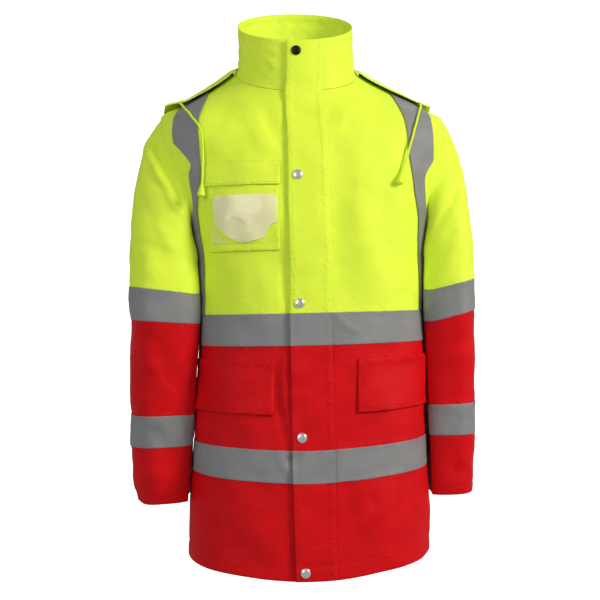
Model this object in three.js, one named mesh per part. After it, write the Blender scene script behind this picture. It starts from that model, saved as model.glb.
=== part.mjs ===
// A hi-vis winter work jacket, filled out as it is when worn, with nobody in it.
// Millimetres, +Z up, the wearer facing -Y and the wearer's left hand at +X.
// The origin is midway between the two neck ends of the shoulder seams, where the wearer carries the jacket.
//
// The body is a stack of rings from hem to collar. A place on it has two coordinates, as on a paper pattern:
// the level, which is the height of the ring, and the distance along the cloth from the centre front.
// Every piece is a wall between two copies of one grid of points, and what is sewn on a panel is made from
// that panel's surface, moved out.
import * as THREE from 'three';

// Cloth and seams
const SHELL = 2.4; // wall of the padded body and sleeves
const COLLAR_WALL = 2.2;
const HOOD_WALL = 1.4;
const SEAM = 0.3; // gap between two pieces at a seam
const LIFT = 0.6; // gap under a piece that lies on a panel
const TAPE_WIDTH = 50;
const TAPE_WALL = 0.6;
const FLAP_WALL = 1.8; // pocket flaps and storm flap

// Heights of the body, as levels of its rings
const CHEST_TAPE_TOP = -392;
const CHEST_TAPE_END = CHEST_TAPE_TOP - TAPE_WIDTH;
const COLOUR_SEAM = (CHEST_TAPE_TOP + CHEST_TAPE_END) / 2; // yellow above, red below
const LOW_TAPE_TOP = -602;
const LOW_TAPE_END = LOW_TAPE_TOP - TAPE_WIDTH;
const LOW_TAPE_MIDDLE = (LOW_TAPE_TOP + LOW_TAPE_END) / 2;
const HEM = -801;
const HEM_RISE = 0.055; // share by which the lower body is shorter at the sides
const NECK = 0;
const COLLAR_TOP = 80;

// Sections of the body: how far the middle lies to the left, half width, depth in front of and behind the
// axis, squareness, and lean, which is how much a ring drops for each millimetre that it comes forward
const BODY = [
  { level: -816, shift: 2, across: 197, front: 144, back: 128, power: 2.6, lean: 0 },
  { level: -700, shift: 5, across: 194, front: 141, back: 126, power: 2.6, lean: 0 },
  { level: -600, shift: 8, across: 190, front: 138, back: 124, power: 2.6, lean: 0 },
  { level: -500, shift: 11, across: 186, front: 135, back: 122, power: 2.6, lean: 0 },
  { level: -400, shift: 13, across: 183, front: 132, back: 120, power: 2.6, lean: 0 },
  { level: -320, shift: 13, across: 185, front: 131, back: 121, power: 2.55, lean: 0 },
  { level: -262, shift: 11, across: 195, front: 131, back: 122, power: 2.5, lean: 0 },
  { level: -200, shift: 9, across: 213, front: 127, back: 121, power: 2.5, lean: 0.01 },
  { level: -150, shift: 9, across: 227, front: 121, back: 117, power: 2.5, lean: 0.05 },
  { level: -105, shift: 9, across: 234, front: 113, back: 111, power: 2.5, lean: 0.11 },
  { level: -73, shift: 8, across: 230, front: 102, back: 101, power: 2.5, lean: 0.22 },
  { level: -49, shift: 6, across: 183, front: 96, back: 94, power: 2.45, lean: 0.3 },
  { level: -26, shift: 3, across: 139, front: 91, back: 87, power: 2.35, lean: 0.4 },
  { level: -10, shift: 0, across: 112, front: 87, back: 82, power: 2.2, lean: 0.47 },
  { level: 0, shift: -1, across: 99, front: 85, back: 79, power: 2.15, lean: 0.5 },
  { level: 12, shift: -1, across: 95, front: 84, back: 78, power: 2.1, lean: 0.5 },
  { level: 40, shift: -1, across: 94, front: 84, back: 78, power: 2.1, lean: 0.5 },
  { level: 84, shift: -1, across: 95, front: 85, back: 80, power: 2.1, lean: 0.5 },
];

const SHOULDER_TILT = -0.015; // the left shoulder hangs a little lower than the right

// Armhole: a closed curve on the body from the shoulder tip down to the underarm
const ARMHOLE_TIP = -73;
const UNDERARM = -262;
const ARMHOLE_FRONT = { right: 70, left: 57 }; // the left sleeve is set further out
const ARMHOLE_BACK = 66;
const ARMHOLE_SKEW = 0.55; // how much deeper its lower half is

// Sections of the sleeves below the armhole: how far out the middle is and half width, for the right and the left
// sleeve, how far forward the middle is, half depth, slope of each ring, whose inner side is the lower one, and
// how far the ring turns up on its outer side
const SLEEVE = [
  {
    level: -300, outRight: 228, wideRight: 50, outLeft: 244, wideLeft: 37, forward: 14, deep: 80,
    slopeRight: 0.16, slopeLeft: 0.25, curlRight: 0, curlLeft: 0,
  },
  {
    level: -351, outRight: 227, wideRight: 52, outLeft: 242, wideLeft: 38, forward: 18, deep: 77,
    slopeRight: 0.14, slopeLeft: 0.235, curlRight: 0, curlLeft: 0,
  },
  {
    level: -401, outRight: 227, wideRight: 52, outLeft: 242, wideLeft: 38, forward: 17, deep: 74,
    slopeRight: 0.09, slopeLeft: 0.25, curlRight: 0, curlLeft: 0,
  },
  {
    level: -470, outRight: 230, wideRight: 52, outLeft: 242, wideLeft: 38, forward: 11, deep: 70,
    slopeRight: 0.03, slopeLeft: 0.1, curlRight: 0, curlLeft: 0,
  },
  {
    level: -550, outRight: 232, wideRight: 51, outLeft: 242, wideLeft: 38, forward: 6, deep: 66,
    slopeRight: 0, slopeLeft: 0.02, curlRight: 0, curlLeft: 0,
  },
  {
    level: -600, outRight: 235, wideRight: 48, outLeft: 241, wideLeft: 38, forward: 4, deep: 64,
    slopeRight: -0.02, slopeLeft: 0, curlRight: 0, curlLeft: 0,
  },
  {
    level: -660, outRight: 236, wideRight: 45, outLeft: 240, wideLeft: 38, forward: 2, deep: 61,
    slopeRight: -0.03, slopeLeft: 0, curlRight: 1, curlLeft: 1,
  },
  {
    level: -692, outRight: 236, wideRight: 41, outLeft: 239, wideLeft: 36, forward: 0, deep: 58,
    slopeRight: -0.04, slopeLeft: 0, curlRight: 11, curlLeft: 6,
  },
];
const SLEEVE_INNER = 26; // how much wider the half that faces the body is, before the body's side presses it in
const SLEEVE_SOFT = 5; // how gently it turns from its own form to the body's
const SLEEVE_CLEAR = 6.5; // from the body's cloth to the sleeve's, with room for the tapes and flaps between them
const SLEEVE_POWER = 2.2;
const CAP_REACH = { Right: 0.9, Left: 0.62 }; // how far each sleeve head stands out from the shoulder
// How the sleeve head leaves the armhole, and how it runs into its first section: each distance is a middle
// value and what the cosine or sine of the turn round the sleeve adds to it
const HEAD_LEAVES = { out: 81, outTurn: 69, forwardTurn: 22, down: 67, downTurn: 22 };
const HEAD_ENDS = { out: 12, down: 125, downTurn: 75 };
const SLEEVE_START = SLEEVE[0].level;
const SLEEVE_TAPES = { right: [-351, -550], left: [-351, -544] }; // tops of the two tapes
const SLEEVE_COLOUR_SEAM = SLEEVE_TAPES.right[0] - TAPE_WIDTH / 2;
const CUFF = -692;

// Storm flap over the front opening: distances of its free edge, on the wearer's right, and of its seam
const FLAP = [
  { level: 84, free: -19, sewn: 41 },
  { level: 20, free: -21, sewn: 39 },
  { level: -66, free: -32, sewn: 29 },
  { level: -180, free: -34, sewn: 30 },
  { level: -420, free: -40, sewn: 25 },
  { level: -610, free: -36, sewn: 30 },
  { level: -801, free: -30, sewn: 34 },
];
const FLAP_LIFT = { sewn: 1.6, free: 3.4 };
const SNAP_INSET = 15;
const SNAP_RADIUS = 7.6;
const SNAP_HEIGHT = 2.6;
const SNAP_SIDES = 14;
const SNAPS = [
  { name: 'snap_collar', level: 62, dark: true },
  { name: 'snap_chest', level: -177, dark: false },
  { name: 'snap_waist', level: -377, dark: false },
  { name: 'snap_low', level: -582, dark: false },
  { name: 'snap_hem', level: -786, dark: false },
];

// Badge pocket on the wearer's right chest, and the two lower pocket flaps: distances from the centre front
const BADGE = { near: 47, far: 161, top: -152, end: -295, bulge: 3.5, lift: 1.1 };
const BADGE_LEAN = { near: 4.5, far: 10 }; // how much further out the pocket's edges lie at its lower edge
const BADGE_FLAP = { near: 45, far: 163, top: -150, end: -193 };
const BADGE_WINDOW = { near: 50, far: 151, top: -208, end: -282, wall: 0.5 };
const POCKET_FLAP = { near: 64, far: 230, top: -464, end: -548 };

// Harness tape over each shoulder: how far across its inner edge runs at each level, and how much cloth is left
// between it and each armhole, for the right and the left one
const HARNESS = [
  { level: -392, innerRight: 170, marginRight: 6, innerLeft: 170, marginLeft: 6 },
  { level: -311, innerRight: 170, marginRight: 6, innerLeft: 170, marginLeft: 6 },
  { level: -250, innerRight: 173, marginRight: 6, innerLeft: 172, marginLeft: 7 },
  { level: -212, innerRight: 171, marginRight: 5, innerLeft: 168, marginLeft: 13 },
  { level: -196, innerRight: 169, marginRight: 6, innerLeft: 166, marginLeft: 19 },
  { level: -173, innerRight: 168, marginRight: 15, innerLeft: 163, marginLeft: 29 },
  { level: -150, innerRight: 168, marginRight: 34, innerLeft: 160, marginLeft: 25 },
  { level: -127, innerRight: 169, marginRight: 32, innerLeft: 158, marginLeft: 14 },
  { level: -100, innerRight: 170.5, marginRight: 13, innerLeft: 157, marginLeft: 8 },
];
const HARNESS_ACROSS = 150;
const HARNESS_LIFT = 1.7; // it bridges the hollow in front of the armhole
const HARNESS_TUCK = { reach: 10, rise: 6 }; // near the underarm it keeps the margin that it has just above it

// Hood, lying open down the back. For each column: where its neck edge, its fold and its face edge lie, as the
// distance across and the level. The last row is the chin end, out on the shoulder.
const HOOD = [
  { column: 0, neck: 0, fold: 0, foldLevel: -268, face: 0, faceLevel: -104, stand: 34 },
  { column: 0.25, neck: 52, fold: 66, foldLevel: -256, face: 60, faceLevel: -108, stand: 32 },
  { column: 0.5, neck: 100, fold: 128, foldLevel: -216, face: 116, faceLevel: -112, stand: 26 },
  { column: 0.75, neck: 158, fold: 180, foldLevel: -146, face: 176, faceLevel: -96, stand: 16 },
  { column: 1, neck: 215, fold: 216, foldLevel: -82, face: 215, faceLevel: -76, stand: 7 },
];
const HOOD_FORWARD = 0.45; // how far its shoulder edge comes forward over the shoulder seam
const HOOD_CLEAR = 7.5; // middle of its cloth above the back under it
const HOOD_SEAT = 1.4; // the same at its seam round the back of the collar
const HOOD_END = { reach: 4, stand: 6, from: 0.84 }; // its right end reaches further out and is turned up
const HOOD_ROOT = 99; // nearer the middle than this the shoulder's crest is taken as level
const HOOD_HIGHEST = 2; // the highest crest it lies on
const HOOD_RISE = { from: 96, over: 14 }; // how far across its neck edge leaves the collar for the shoulder
const HOOD_SEWN = { share: 0.52, fade: 0.06, down: 0.1 }; // where it sits down on its seam
const HOOD_OPENS = { from: 0.42, over: 0.36 }; // shares of the way down where it rises off the back

// Drawcords of the hood: points down the middle of each cord, chosen by hand
const CORD_DIAMETER = 3.6;
const CORD_SIDES = 8;
const CORD_RIGHT = [
  [-193.5, -17.5, -47.5], [-190, -28, -51.5], [-186.5, -40, -57], [-182.3, -52.5, -64], [-175.4, -70, -73.5],
  [-170.7, -78.7, -82], [-164.6, -86.3, -90], [-159.8, -91.2, -98], [-156.8, -93.5, -106], [-155.4, -95.8, -113.5],
  [-154.8, -98.5, -127], [-154.6, -101.5, -143], [-155, -106, -158], [-155.6, -108, -174], [-157, -108.5, -189.5],
];
const CORD_LEFT = [
  [202, -17.5, -53], [200, -28, -57.5], [198.1, -40.5, -63], [195.8, -50, -67], [193, -59, -71],
  [190, -68.3, -77.5], [186.8, -77.3, -84.4], [181.7, -88.6, -98], [178, -93, -107], [175.7, -96.2, -115],
  [172.7, -98.9, -123.5], [169.8, -101, -132], [164.6, -104.4, -148], [160, -107.8, -162], [154.5, -111.5, -177],
];
const CORD_END = { length: 20, neck: 2.6, mouth: 6 };

// Colours, as base colours of the cloth
const COLOURS = {
  yellow: { color: 0xd8f022, roughness: 0.6, metalness: 0 },
  red: { color: 0xd8090f, roughness: 0.62, metalness: 0 },
  tape: { color: 0x8b8c8f, roughness: 0.45, metalness: 0.1 },
  steel: { color: 0xc8c6c2, roughness: 0.25, metalness: 1 },
  dark: { color: 0x2b2a1c, roughness: 0.4, metalness: 0.6 },
  clear: { color: 0xf2f0b4, roughness: 0.15, metalness: 0 },
  cord: { color: 0xdcf45a, roughness: 0.6, metalness: 0 },
};

const group = new THREE.Group();
const lerp = THREE.MathUtils.lerp;
const clamp = THREE.MathUtils.clamp;
const even = (from, to, count) => Array.from({ length: count + 1 }, (_, i) => lerp(from, to, i / count));

// A smooth curve through one column of a table, flat at its peaks, so that it never overshoots a section.
function column(table, name, key = 'level') {
  const rows = [...table].sort((a, b) => a[key] - b[key]);
  const steps = rows.slice(1).map((r, i) => (r[name] - rows[i][name]) / (r[key] - rows[i][key]));
  const slopes = rows.map((_, i) => {
    if (i === 0) return steps[0];
    if (i === rows.length - 1) return steps[i - 1];
    const [a, b] = [steps[i - 1], steps[i]];
    return a * b <= 0 ? 0 : (2 * a * b) / (a + b);
  });
  return (at) => {
    const x = clamp(at, rows[0][key], rows[rows.length - 1][key]);
    const i = clamp(rows.findIndex((r) => r[key] >= x) - 1, 0, rows.length - 2);
    const width = rows[i + 1][key] - rows[i][key];
    const t = (x - rows[i][key]) / width;
    const t2 = t * t;
    const t3 = t2 * t;
    return (2 * t3 - 3 * t2 + 1) * rows[i][name] + (t3 - 2 * t2 + t) * width * slopes[i]
      + (3 * t2 - 2 * t3) * rows[i + 1][name] + (t3 - t2) * width * slopes[i + 1];
  };
}

const body = Object.fromEntries(
  ['shift', 'across', 'front', 'back', 'power', 'lean'].map((name) => [name, column(BODY, name)]),
);

// The point of the body at an angle round it (0 is the centre front, 90 degrees the wearer's left side) and a
// level: a superellipse with its own depth in front and behind, leaning forward near the neck.
function bodySurface(angle, level) {
  const across = body.across(level);
  const depth = Math.cos(angle) > 0 ? body.front(level) : body.back(level);
  const power = body.power(level);
  const reach = (Math.abs(Math.sin(angle) / across) ** power + Math.abs(Math.cos(angle) / depth) ** power)
    ** (-1 / power);
  const y = -reach * Math.cos(angle);
  const below = Math.min(0, level - COLOUR_SEAM);
  const x = reach * Math.sin(angle);
  const tilt = SHOULDER_TILT * x * clamp(1 + level / 300, 0, 1) * clamp((84 - level) / 100, 0, 1);
  const z = level - below * HEM_RISE * Math.sin(angle) ** 2 + body.lean(level) * y + tilt;
  return new THREE.Vector3(x + body.shift(level), y, z);
}

// The same point moved out of the cloth by a distance, along the surface's outward direction.
function bodyPoint(angle, level, out = 0) {
  const step = { angle: 0.004, level: 0.6 };
  const round = bodySurface(angle + step.angle, level).sub(bodySurface(angle - step.angle, level));
  const up = bodySurface(angle, level + step.level).sub(bodySurface(angle, level - step.level));
  return bodySurface(angle, level).addScaledVector(round.cross(up).normalize(), out);
}

// Distance along the cloth of each of many angles, from the centre front to the centre back, one list a level.
const ARC_STEPS = 180;
const arcs = new Map();
function arc(level) {
  if (!arcs.has(level)) {
    const points = even(0, Math.PI, ARC_STEPS).map((angle) => bodySurface(angle, level));
    const lengths = [0];
    points.slice(1).forEach((p, i) => lengths.push(lengths[i] + p.distanceTo(points[i])));
    arcs.set(level, lengths);
  }
  return arcs.get(level);
}

function distanceAt(angle, level) {
  const lengths = arc(level);
  const at = clamp((Math.abs(angle) / Math.PI) * ARC_STEPS, 0, ARC_STEPS - 1e-9);
  const i = Math.floor(at);
  return Math.sign(angle) * lerp(lengths[i], lengths[i + 1], at - i);
}

function angleAt(distance, level) {
  const lengths = arc(level);
  const d = Math.abs(distance);
  const i = clamp(lengths.findIndex((length) => length >= d) - 1, 0, ARC_STEPS - 1);
  const angle = ((i + (d - lengths[i]) / (lengths[i + 1] - lengths[i])) / ARC_STEPS) * Math.PI;
  return Math.sign(distance) * angle;
}

const onCloth = (distance, level, out) => bodyPoint(angleAt(distance, level), level, out);

// Armhole: its level and the angle of its edge, at a turn of 0 (shoulder tip) to PI (underarm) down the front,
// and on to 2 PI up the back
const ARMHOLE_MIDDLE = (ARMHOLE_TIP + UNDERARM) / 2;
const ARMHOLE_HALF = (ARMHOLE_TIP - UNDERARM) / 2;
const armholeLevel = (turn) => ARMHOLE_MIDDLE + ARMHOLE_HALF * Math.cos(turn);
const hand = (side) => (side < 0 ? 'right' : 'left');

function armholeAngle(level, behind, side) {
  const up = clamp((level - ARMHOLE_MIDDLE) / ARMHOLE_HALF, -1, 1);
  const most = behind ? ARMHOLE_BACK : ARMHOLE_FRONT[hand(side)];
  const reach = most * Math.sqrt(1 - up * up) * (1 - ARMHOLE_SKEW * up);
  const depth = behind ? body.back(level) : body.front(level);
  const power = body.power(level);
  const across = body.across(level) * (1 - (reach / depth) ** power) ** (1 / power);
  return Math.atan2(across, behind ? -reach : reach);
}

// A solid between two grids of the same size. A ring closes on itself along its rows.
function wall(outer, inner, ring = false) {
  const rows = outer.length;
  const cols = outer[0].length;
  const points = [...outer.flat(), ...inner.flat()];
  const faces = [];
  const at = (layer, i, j) => layer * rows * cols + i * cols + (j % cols);
  const quad = (a, b, c, d) => faces.push(a, b, c, a, c, d);
  const spans = ring ? cols : cols - 1;
  for (let i = 0; i < rows - 1; i++) {
    for (let j = 0; j < spans; j++) {
      quad(at(0, i, j), at(0, i, j + 1), at(0, i + 1, j + 1), at(0, i + 1, j));
      quad(at(1, i, j), at(1, i + 1, j), at(1, i + 1, j + 1), at(1, i, j + 1));
    }
  }
  for (let j = 0; j < spans; j++) {
    quad(at(0, 0, j), at(1, 0, j), at(1, 0, j + 1), at(0, 0, j + 1));
    quad(at(0, rows - 1, j), at(0, rows - 1, j + 1), at(1, rows - 1, j + 1), at(1, rows - 1, j));
  }
  if (!ring) {
    for (let i = 0; i < rows - 1; i++) {
      quad(at(0, i, 0), at(0, i + 1, 0), at(1, i + 1, 0), at(1, i, 0));
      quad(at(0, i, cols - 1), at(1, i, cols - 1), at(1, i + 1, cols - 1), at(0, i + 1, cols - 1));
    }
  }
  return facingOut(points, faces);
}

// Turns the faces round where they enclose a negative volume.
function facingOut(points, faces) {
  let volume = 0;
  for (let i = 0; i < faces.length; i += 3) {
    const [a, b, c] = [points[faces[i]], points[faces[i + 1]], points[faces[i + 2]]];
    volume += a.dot(b.clone().cross(c));
  }
  const index = [];
  for (let i = 0; i < faces.length; i += 3) {
    if (volume < 0) index.push(faces[i], faces[i + 2], faces[i + 1]);
    else index.push(faces[i], faces[i + 1], faces[i + 2]);
  }
  const geometry = new THREE.BufferGeometry().setFromPoints(points);
  geometry.setIndex(index);
  return geometry;
}

// The outward direction at each point of a grid, from its neighbours. The sign is +1 or -1.
function directions(grid, sign, ring = false) {
  const rows = grid.length;
  const cols = grid[0].length;
  return grid.map((row, i) => row.map((_, j) => {
    const along = grid[Math.min(i + 1, rows - 1)][j].clone().sub(grid[Math.max(i - 1, 0)][j]);
    const next = ring ? (j + 1) % cols : Math.min(j + 1, cols - 1);
    const last = ring ? (j + cols - 1) % cols : Math.max(j - 1, 0);
    return row[next].clone().sub(row[last]).cross(along).normalize().multiplyScalar(sign);
  }));
}

const moved = (grid, normals, by) => grid.map(
  (row, i) => row.map((p, j) => p.clone().addScaledVector(normals[i][j], typeof by === 'number' ? by : by(i, j))),
);

function add(name, geometry, colour) {
  const mesh = new THREE.Mesh(geometry, new THREE.MeshStandardMaterial(COLOURS[colour]));
  mesh.name = name;
  group.add(mesh);
}

// A piece on the body, from the outside of the cloth inwards by its wall: rows are levels, and each row runs
// between the two distances that span gives for its level.
function patch(levels, span, shares, lift, thickness) {
  const point = (level, share, more) => {
    const [from, to] = span(level);
    return onCloth(lerp(from, to, share), level, more(level, share));
  };
  const height = typeof lift === 'number' ? () => lift : lift;
  const outer = levels.map((level) => shares.map((f) => point(level, f, (l, s) => height(l, s) + thickness)));
  const inner = levels.map((level) => shares.map((f) => point(level, f, height)));
  return wall(outer, inner);
}

// Body panels

const FRONT_SHARES = [0, 0.12, 0.24, 0.37, 0.5, 0.61, 0.71, 0.8, 0.88, 0.945, 1];
const BACK_SHARES = [0, 0.045, 0.1, 0.17, 0.25, 0.33, 0.415, 0.5, 0.585, 0.67, 0.75, 0.83, 0.9, 0.955, 1];
const ARMHOLE_ROWS = 13;
const LOW_TAPE_LEVELS = [LOW_TAPE_END, LOW_TAPE_MIDDLE, LOW_TAPE_TOP];
const UPPER_LEVELS = [
  COLOUR_SEAM + SEAM / 2, CHEST_TAPE_TOP, -352, -320, -290,
  ...even(Math.PI, 0, ARMHOLE_ROWS).map(armholeLevel),
  -60, -43, -26, -12, NECK - SEAM / 2,
];
const LOWER_LEVELS = [
  HEM, -775, -740, -710, -680, LOW_TAPE_END, LOW_TAPE_MIDDLE, LOW_TAPE_TOP, -575, POCKET_FLAP.end,
  -520, -492, POCKET_FLAP.top, CHEST_TAPE_END, COLOUR_SEAM - SEAM / 2,
];

// Distance of a panel's outer edge: the side seam, the armhole or the shoulder seam, whichever the level meets.
function edgeDistance(level, behind, side = 1) {
  const inArmhole = level > UNDERARM && level < ARMHOLE_TIP;
  const angle = inArmhole ? armholeAngle(level, behind, side) : Math.PI / 2;
  return distanceAt(angle, level);
}

const frontSpan = (side) => (level) => [side * SEAM / 2, side * (edgeDistance(level, false, side) - SEAM / 2)];

// The back runs past the centre back, so its span is measured from there.
function backPatch(levels, lift, thickness) {
  const half = (level) => distanceAt(Math.PI, level) - edgeDistance(level, true) - SEAM / 2;
  const grid = (out) => levels.map((level) => BACK_SHARES.map((share) => {
    const fromCentre = lerp(-half(level), half(level), share);
    const fromFront = distanceAt(Math.PI, level) - Math.abs(fromCentre);
    return onCloth(fromCentre < 0 ? -fromFront : fromFront, level, out);
  }));
  return wall(grid(lift + thickness), grid(lift));
}

function bodyPanels() {
  for (const [side, name] of [[-1, 'right'], [1, 'left']]) {
    const span = frontSpan(side);
    add(`front_${name}_upper`, patch(UPPER_LEVELS, span, FRONT_SHARES, -SHELL, SHELL), 'yellow');
    add(`front_${name}_lower`, patch(LOWER_LEVELS, span, FRONT_SHARES, -SHELL, SHELL), 'red');
  }
  add('back_upper', backPatch(UPPER_LEVELS, -SHELL, SHELL), 'yellow');
  add('back_lower', backPatch(LOWER_LEVELS, -SHELL, SHELL), 'red');
}

function bodyTapes() {
  const bands = [
    { name: 'chest_tape', levels: [CHEST_TAPE_END, COLOUR_SEAM, CHEST_TAPE_TOP] },
    { name: 'low_tape', levels: LOW_TAPE_LEVELS },
  ];
  for (const { name, levels } of bands) {
    for (const [side, hand] of [[-1, 'right'], [1, 'left']]) {
      add(`${name}_${hand}`, patch(levels, frontSpan(side), FRONT_SHARES, LIFT, TAPE_WALL), 'tape');
    }
    add(`${name}_back`, backPatch(levels, LIFT, TAPE_WALL), 'tape');
  }
}

// Collar: one strip from the centre front round the neck and back to it

const COLLAR_LEVELS = [NECK + SEAM / 2, 12, 40, COLLAR_TOP];
const COLLAR_COLUMNS = 30;

function collar() {
  const grid = (out) => COLLAR_LEVELS.map((level) => {
    const half = distanceAt(Math.PI, level);
    return even(SEAM / 2, 2 * half - SEAM / 2, COLLAR_COLUMNS).map(
      (d) => onCloth(d <= half ? d : d - 2 * half, level, out),
    );
  });
  add('collar', wall(grid(0), grid(-COLLAR_WALL)), 'yellow');
}

// Storm flap: one long strip in a yellow and a red part, with tapes and snap caps on it

const flap = { free: column(FLAP, 'free'), sewn: column(FLAP, 'sewn') };

function flapSpan(level) {
  return [flap.free(level), flap.sewn(level)];
}

const FLAP_SHARES = [0, 0.3, 0.65, 1];
const flapLift = (level, share) => lerp(FLAP_LIFT.free, FLAP_LIFT.sewn, share);

function stormFlap() {
  const upper = [
    COLOUR_SEAM + SEAM / 2, CHEST_TAPE_TOP, -345, -305, -265, -225, -185, -150, -120, -92,
    -68, -48, -32, -19, -9, 0, 12, 40, COLLAR_TOP - 1,
  ];
  const lower = [HEM + 1, ...LOWER_LEVELS.slice(1)];
  add('storm_flap_upper', patch(upper, flapSpan, FLAP_SHARES, flapLift, FLAP_WALL), 'yellow');
  add('storm_flap_lower', patch(lower, flapSpan, FLAP_SHARES, flapLift, FLAP_WALL), 'red');
  const onFlap = (level, share) => flapLift(level, share) + FLAP_WALL + SEAM;
  const chest = [CHEST_TAPE_END, COLOUR_SEAM - SEAM / 2, COLOUR_SEAM + SEAM / 2, CHEST_TAPE_TOP];
  add('chest_tape_flap', patch(chest, flapSpan, FLAP_SHARES, onFlap, TAPE_WALL), 'tape');
  add('low_tape_flap', patch(LOW_TAPE_LEVELS, flapSpan, FLAP_SHARES, onFlap, TAPE_WALL), 'tape');
}

// A snap cap is a low dome on the flap, near its free edge.
function snaps() {
  const dome = [
    [0, 0], [SNAP_RADIUS, 0], [SNAP_RADIUS, SNAP_HEIGHT * 0.35], [SNAP_RADIUS * 0.75, SNAP_HEIGHT * 0.8],
    [0, SNAP_HEIGHT],
  ].map(([x, y]) => new THREE.Vector2(x, y));
  for (const { name, level, dark } of SNAPS) {
    const [free, seam] = flapSpan(level);
    const share = SNAP_INSET / (seam - free);
    const angle = angleAt(lerp(free, seam, share), level);
    const seat = flapLift(level, share) + FLAP_WALL + 2 * SEAM;
    const foot = bodyPoint(angle, level, seat);
    const axis = bodyPoint(angle, level, seat + 1).sub(foot).normalize();
    const geometry = new THREE.LatheGeometry(dome, SNAP_SIDES);
    geometry.applyQuaternion(new THREE.Quaternion().setFromUnitVectors(new THREE.Vector3(0, 1, 0), axis));
    geometry.translate(foot.x, foot.y, foot.z);
    add(name, geometry, dark ? 'dark' : 'steel');
  }
}

// Pockets

function badgePocket() {
  const downTo = (level) => clamp((BADGE.top - level) / (BADGE.top - BADGE.end), 0, 1);
  const span = ({ near, far }) => (level) => [
    -far - BADGE_LEAN.far * downTo(level), -near - BADGE_LEAN.near * downTo(level),
  ];
  const shares = even(0, 1, 6);
  const bulge = (level, share) => (
    BADGE.bulge * Math.sin(Math.PI * share) * Math.sin(Math.PI * downTo(level) ** 1.4)
  );
  const pocketLevels = even(BADGE.end, BADGE.top, 6);
  const outer = (level, share) => BADGE.lift + FLAP_WALL + bulge(level, share);
  const slab = (top) => pocketLevels.map((level) => shares.map((f) => {
    const [from, to] = span(BADGE)(level);
    return onCloth(lerp(from, to, f), level, top ? outer(level, f) : BADGE.lift);
  }));
  add('badge_pocket', wall(slab(true), slab(false)), 'yellow');
  const onPocket = (piece, gap) => (level, share) => {
    const across = lerp(-piece.far, -piece.near, share);
    return outer(level, clamp((across + BADGE.far) / (BADGE.far - BADGE.near), 0, 1)) + gap;
  };
  const windowLevels = even(BADGE_WINDOW.end, BADGE_WINDOW.top, 6);
  const windowWall = patch(windowLevels, span(BADGE_WINDOW), shares, onPocket(BADGE_WINDOW, 2 * SEAM),
    BADGE_WINDOW.wall);
  add('badge_window', windowWall, 'clear');
  const flapLevels = even(BADGE_FLAP.end, BADGE_FLAP.top, 3);
  add('badge_flap', patch(flapLevels, span(BADGE_FLAP), shares, onPocket(BADGE_FLAP, 2 * SEAM), FLAP_WALL),
    'yellow');
}

// Lower pocket flaps: their columns are the panel's own, so that the two lie parallel round the side.
function pocketFlaps() {
  const levels = LOWER_LEVELS.filter((l) => l >= POCKET_FLAP.end && l <= POCKET_FLAP.top);
  for (const [side, name] of [[-1, 'right'], [1, 'left']]) {
    const grid = (out) => levels.map((level) => {
      const edge = edgeDistance(level, false);
      const inside = FRONT_SHARES.map((f) => f * edge).filter(
        (d) => d > POCKET_FLAP.near + 6 && d < POCKET_FLAP.far - 6,
      );
      return [POCKET_FLAP.near, ...inside, POCKET_FLAP.far].map((d) => onCloth(side * d, level, out));
    });
    add(`pocket_flap_${name}`, wall(grid(LIFT + FLAP_WALL), grid(LIFT)), 'red');
  }
}

// Harness tape: a band up the front, over the shoulder and down the back. On the front and the back its inner
// edge follows the table. Above those levels each column runs straight back over the shoulder seam.

const HARNESS_LEVELS = [CHEST_TAPE_TOP + SEAM, -352, -320, -290, ...even(UNDERARM, -96, 13)];
const HARNESS_OVERS = [0.93, 0.84, 0.74, 0.63, 0.51, 0.38, 0.25, 0.12]; // shares of the way from the shoulder seam

const levelAcross = (x) => {
  let [low, high] = [ARMHOLE_TIP, 12];
  for (let i = 0; i < 40; i++) {
    const middle = (low + high) / 2;
    if (body.across(middle) > x) low = middle;
    else high = middle;
  }
  return (low + high) / 2;
};

// The body's surface above a place across and a depth, found by halving between two levels.
function overShoulder(x, y) {
  const outside = (level) => {
    const depth = y < 0 ? body.front(level) : body.back(level);
    const power = body.power(level);
    return (Math.abs(x) / body.across(level)) ** power + (Math.abs(y) / depth) ** power > 1;
  };
  let [low, high] = [-170, 10];
  for (let i = 0; i < 40; i++) {
    const middle = (low + high) / 2;
    if (outside(middle)) high = middle;
    else low = middle;
  }
  return { angle: Math.atan2(x, -y), level: (low + high) / 2 };
}

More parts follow.
